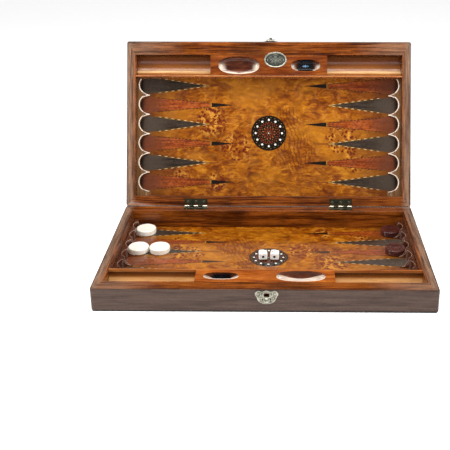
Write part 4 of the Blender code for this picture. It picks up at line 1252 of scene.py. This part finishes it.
def on_front(x, z, out):
    """Placement on the front face of a half: local X along it, local Y up it, local Z out of it."""
    return shift(x, -HALF_D - out, z) @ turn_about("X", 90)


def catch_points():
    """The shield's outline, mirrored from its right side: x in mm and share of the height."""
    right = [(8, 0.07), (13, 0.3), (14.2, 0.51), (16.9, 0.75), (13.2, 0.97), (6.5, 0.92)]
    points = [(0, 0)] + right + [(0, 1)] + [(-x, y) for x, y in reversed(right)]
    return [(x * MM, y * CATCH_HEIGHT) for x, y in points]


def catch_paths():
    """Raised border, scrolls and stems on both sides of the shield, and a frame round the slot."""
    middle = CATCH_HEIGHT / 2
    border = [(x * 0.93, middle + (y - middle) * 0.91, 1.0) for x, y in catch_points()]
    paths = [(border, True)]
    stem = [(4.6, 10.6, 0.6), (7.6, 12.6, 1.2), (8.6, 18.0, 0.5)]
    root = [(1.4, 2.4, 1.2), (3.4, 4.2, 1.0), (4.2, 7.4, 0.6)]
    for sign in (-1, 1):
        paths.append((spiral(sign * 12.3 * MM, 16.0 * MM, 2.9 * MM, 90, -1.1 * sign), False))
        paths.append((spiral(sign * 8.2 * MM, 7.8 * MM, 3.0 * MM, 250, 1.2 * sign), False))
        for run in (stem, root):
            paths.append(([(sign * x * MM, y * MM, thick) for x, y, thick in run], False))
    slot_middle = SLOT_Z - CATCH_BOTTOM
    corners = mm([(-4.1, -3.0), (4.1, -3.0), (4.1, 3.0), (-4.1, 3.0)])
    paths.append(([(x, slot_middle + y, 0.8) for x, y in corners], True))
    return paths


def build_catch():
    """The shield catch: dark ground on the plate under a rubbed relief with two bosses. The upper
    boss is flat, as the hasp lies over it when the box is shut."""
    node = "catch_plate"
    place = on_front(LATCH_X, CATCH_BOTTOM, 0.3 * MM)
    mesh = smooth(rounded(adopted(node, "base"), 0.12 * MM, 2, 40))
    piece(node + "_cast", mesh, "base", "pewter_ground", node)
    relief = wire_mesh(catch_paths(), 0.55 * MM)
    relief.transform(place @ shift(0, 0, 1.0 * MM))
    bosses = bmesh.new()
    for y, squash in ((9.0 * MM, (1, 1, 0.5, 1)), (3.0 * MM, (1.6, 0.7, 0.8, 1))):
        add_turned(bosses, BOSS, place @ shift(0, y, 1.0 * MM) @ Matrix.Diagonal(squash), 40)
    mesh = smooth(joined(relief, mesh_from(bosses)), 60)
    piece(node + "_relief", mesh, "base", "pewter")


def build_latch():
    for node, body in (("latch_plate", "lid"), ("hasp", "hasp")):
        mesh = smooth(rounded(adopted(node, "lid"), 0.1 * MM, 2, 40))
        piece(node + "_cast", mesh, body, "pewter", node)
    mesh = smooth(adopted("hasp_pin", "lid"))
    piece("hasp_pin_rod", mesh, "lid", "screw_brass", "hasp_pin")
    for name, half in (("catch", "base"), ("latch", "lid")):
        for side in ("left", "right"):
            node = f"{name}_{side}_nail"
            piece(node + "_domed", smooth(adopted(node, half), 50), half, "pewter", node)


# --- loose pieces ------------------------------------------------------------------------------

PLAIN_TOP = (
    (0.01, -0.5), (4.0, -0.5), (7.4, -0.46), (9.6, -0.4), (10.4, -0.2), (11.0, -0.04), (11.8, -0.0),
)
RINGED_TOP = (
    (0.01, -1.2), (2.4, -1.15), (4.8, -1.0), (6.6, -0.5), (8.0, -0.02),
    (8.9, -0.25), (9.9, -0.6), (10.9, -0.45), (11.8, -0.02),
)
PIP_STEP = 3.4 * MM


def build_checker(kind, number, top):
    """A turned checker with a rounded rim; a dark one has a raised ring round a hollow middle. The
    top is given as radius and depth below the rim, in mm."""
    node = f"{kind}_{number}"
    low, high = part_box(node)
    radius = (high.x - low.x) / 2
    thick = high.z - low.z
    edge = 2 * MM
    profile = [(r * MM, thick + z * MM) for r, z in top]
    profile += arc((radius - edge, thick - edge), edge, 90, 0, 8)
    profile += arc((radius - edge, edge), edge, 0, -90, 8)
    profile.append((0.01 * MM, 0))
    centre = (low + high) / 2
    mesh = smooth(solid(add_turned, profile, shift(centre.x, centre.y, low.z), 96), 60)
    piece(node + "_turned", mesh, node, kind, node, seed=centre.x * 30)


def build_die(node, turn, top, front, side):
    """A die with rounded corners and small dark pips; top, front and side are the values shown."""
    low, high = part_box(node)
    half = (high.z - low.z) / 2
    bm = bmesh.new()
    bmesh.ops.create_cube(bm, size=2 * half)
    mesh = smooth(rounded(mesh_from(bm), 3.4 * MM, 8, 30), 80)
    place = Matrix.Translation((low + high) / 2) @ turn_about("Z", turn)
    mesh.transform(place)
    piece(node + "_cube", mesh, node, "die", node, seed=9.0)
    bm = bmesh.new()
    to_front, to_side, flip = turn_about("X", 90), turn_about("Y", 90), turn_about("X", 180)
    faces = ((top, shift()), (7 - top, flip), (front, to_front), (7 - front, flip @ to_front))
    faces += ((side, to_side), (7 - side, turn_about("Z", 180) @ to_side))
    for value, turned in faces:
        wide = 2.0 * MM if value == 1 else 1.2 * MM
        pip = [(0.01 * MM, 0.03 * MM), (wide, 0.03 * MM), (wide + 0.15 * MM, -0.1 * MM)]
        pip.append((0.01 * MM, -0.1 * MM))
        for x, y in pip_layout(value):
            add_turned(bm, pip, place @ turned @ shift(x, y, half), 20)
    piece(node + "_pips", mesh_from(bm), node, "ebony")


def pip_layout(value):
    step = PIP_STEP
    corners = [(-step, -step), (step, step), (-step, step), (step, -step)]
    found = [(0, 0)] if value % 2 else []
    found += corners[: value // 2 * 2 if value < 6 else 4]
    if value == 6:
        found += [(-step, 0), (step, 0)]
    return found


def build_loose():
    for number in (1, 2, 3):
        build_checker("light_checker", number, PLAIN_TOP)
    for number in (1, 2):
        build_checker("dark_checker", number, RINGED_TOP)
    build_die("die_1", 5, 2, 1, 3)
    build_die("die_2", -4, 3, 1, 5)


# --- studio ------------------------------------------------------------------------------------

WHITE = (1, 1, 1, 1)
LENS = 64.04
LENS_SHIFT = (-0.111, -0.109)
CAMERA_PLACE = (0.0253, -1.1181, 0.5978)
CAMERA_DIP = 21.823
CAMERA_TURN = 0.622


def build_floor():
    look = Look("studio_floor")
    inputs = {"Vector": look.node("TexCoord").outputs["Object"], "Scale": 40.0, "Detail": 3}
    inputs.update({"Roughness": 0.55, "Distortion": 0.0})
    speck = look.node("TexNoise", inputs).outputs["Fac"]
    colour = look.mix(look.levels(speck, 0.3, 0.7), (0.9, 0.9, 0.9, 1), (0.94, 0.94, 0.94, 1))
    look.finish(colour, 0.6, Emission_Color=WHITE, Emission_Strength=0.36)
    bm = bmesh.new()
    bmesh.ops.create_grid(bm, x_segments=8, y_segments=8, size=6)
    mesh = mesh_from(bm)
    mesh.materials.append(LOOKS["studio_floor"])
    new_object("studio_floor", mesh)


def build_world():
    """A white room: full white to the camera, softer as light, and dim in reflections."""
    world = bpy.data.worlds.new("studio")
    bpy.context.scene.world = world
    world.use_nodes = True
    tree = world.node_tree
    path = tree.nodes.new("ShaderNodeLightPath")
    result = tree.nodes["Background"].outputs[0]
    tree.nodes["Background"].inputs["Color"].default_value = WHITE
    tree.nodes["Background"].inputs["Strength"].default_value = 0.66
    for ray, strength in (("Is Glossy Ray", 0.12), ("Is Camera Ray", 1.05)):
        background = tree.nodes.new("ShaderNodeBackground")
        background.inputs["Color"].default_value = WHITE
        background.inputs["Strength"].default_value = strength
        mix = tree.nodes.new("ShaderNodeMixShader")
        tree.links.new(path.outputs[ray], mix.inputs[0])
        tree.links.new(result, mix.inputs[1])
        tree.links.new(background.outputs[0], mix.inputs[2])
        result = mix.outputs[0]
    tree.links.new(result, tree.nodes["World Output"].inputs[0])


def add_softbox(name, place, size, power):
    """A rectangular lamp aimed at the middle of the box."""
    light = bpy.data.lights.new(name, "AREA")
    light.shape = "RECTANGLE"
    light.size, light.size_y = size
    light.energy = power
    obj = new_object(name, light)
    obj.location = place
    middle = Vector((0, 0.05, 0.1))
    obj.rotation_euler = (middle - Vector(place)).to_track_quat("-Z", "Y").to_euler()


def build_lights():
    add_softbox("overhead", (0, -0.25, 1.35), (1.3, 0.5), 15)
    add_softbox("left_side", (-1.25, -0.35, 0.6), (0.4, 0.6), 9)
    add_softbox("right_side", (1.25, -0.35, 0.6), (0.4, 0.6), 9)


def build_camera():
    data = bpy.data.cameras.new("camera")
    data.sensor_width = 36
    data.lens = LENS
    data.shift_x, data.shift_y = LENS_SHIFT
    data.dof.use_dof = False
    camera = new_object("camera", data)
    camera.location = CAMERA_PLACE
    camera.rotation_euler = (math.radians(90 - CAMERA_DIP), 0, math.radians(CAMERA_TURN))
    bpy.context.scene.camera = camera


make_looks()
for each in ("base", "lid"):
    build_rails(each)
    build_panel(each)
    build_strips(each)
    build_troughs(each)
    build_block(each)
    build_points(each)
    build_rosette(each)
build_foot_shadow_band()
build_badge()
build_hinges()
build_catch()
build_latch()
build_loose()
build_floor()
build_world()
build_lights()
build_camera()
bpy.context.scene.view_settings.view_transform = "Standard"
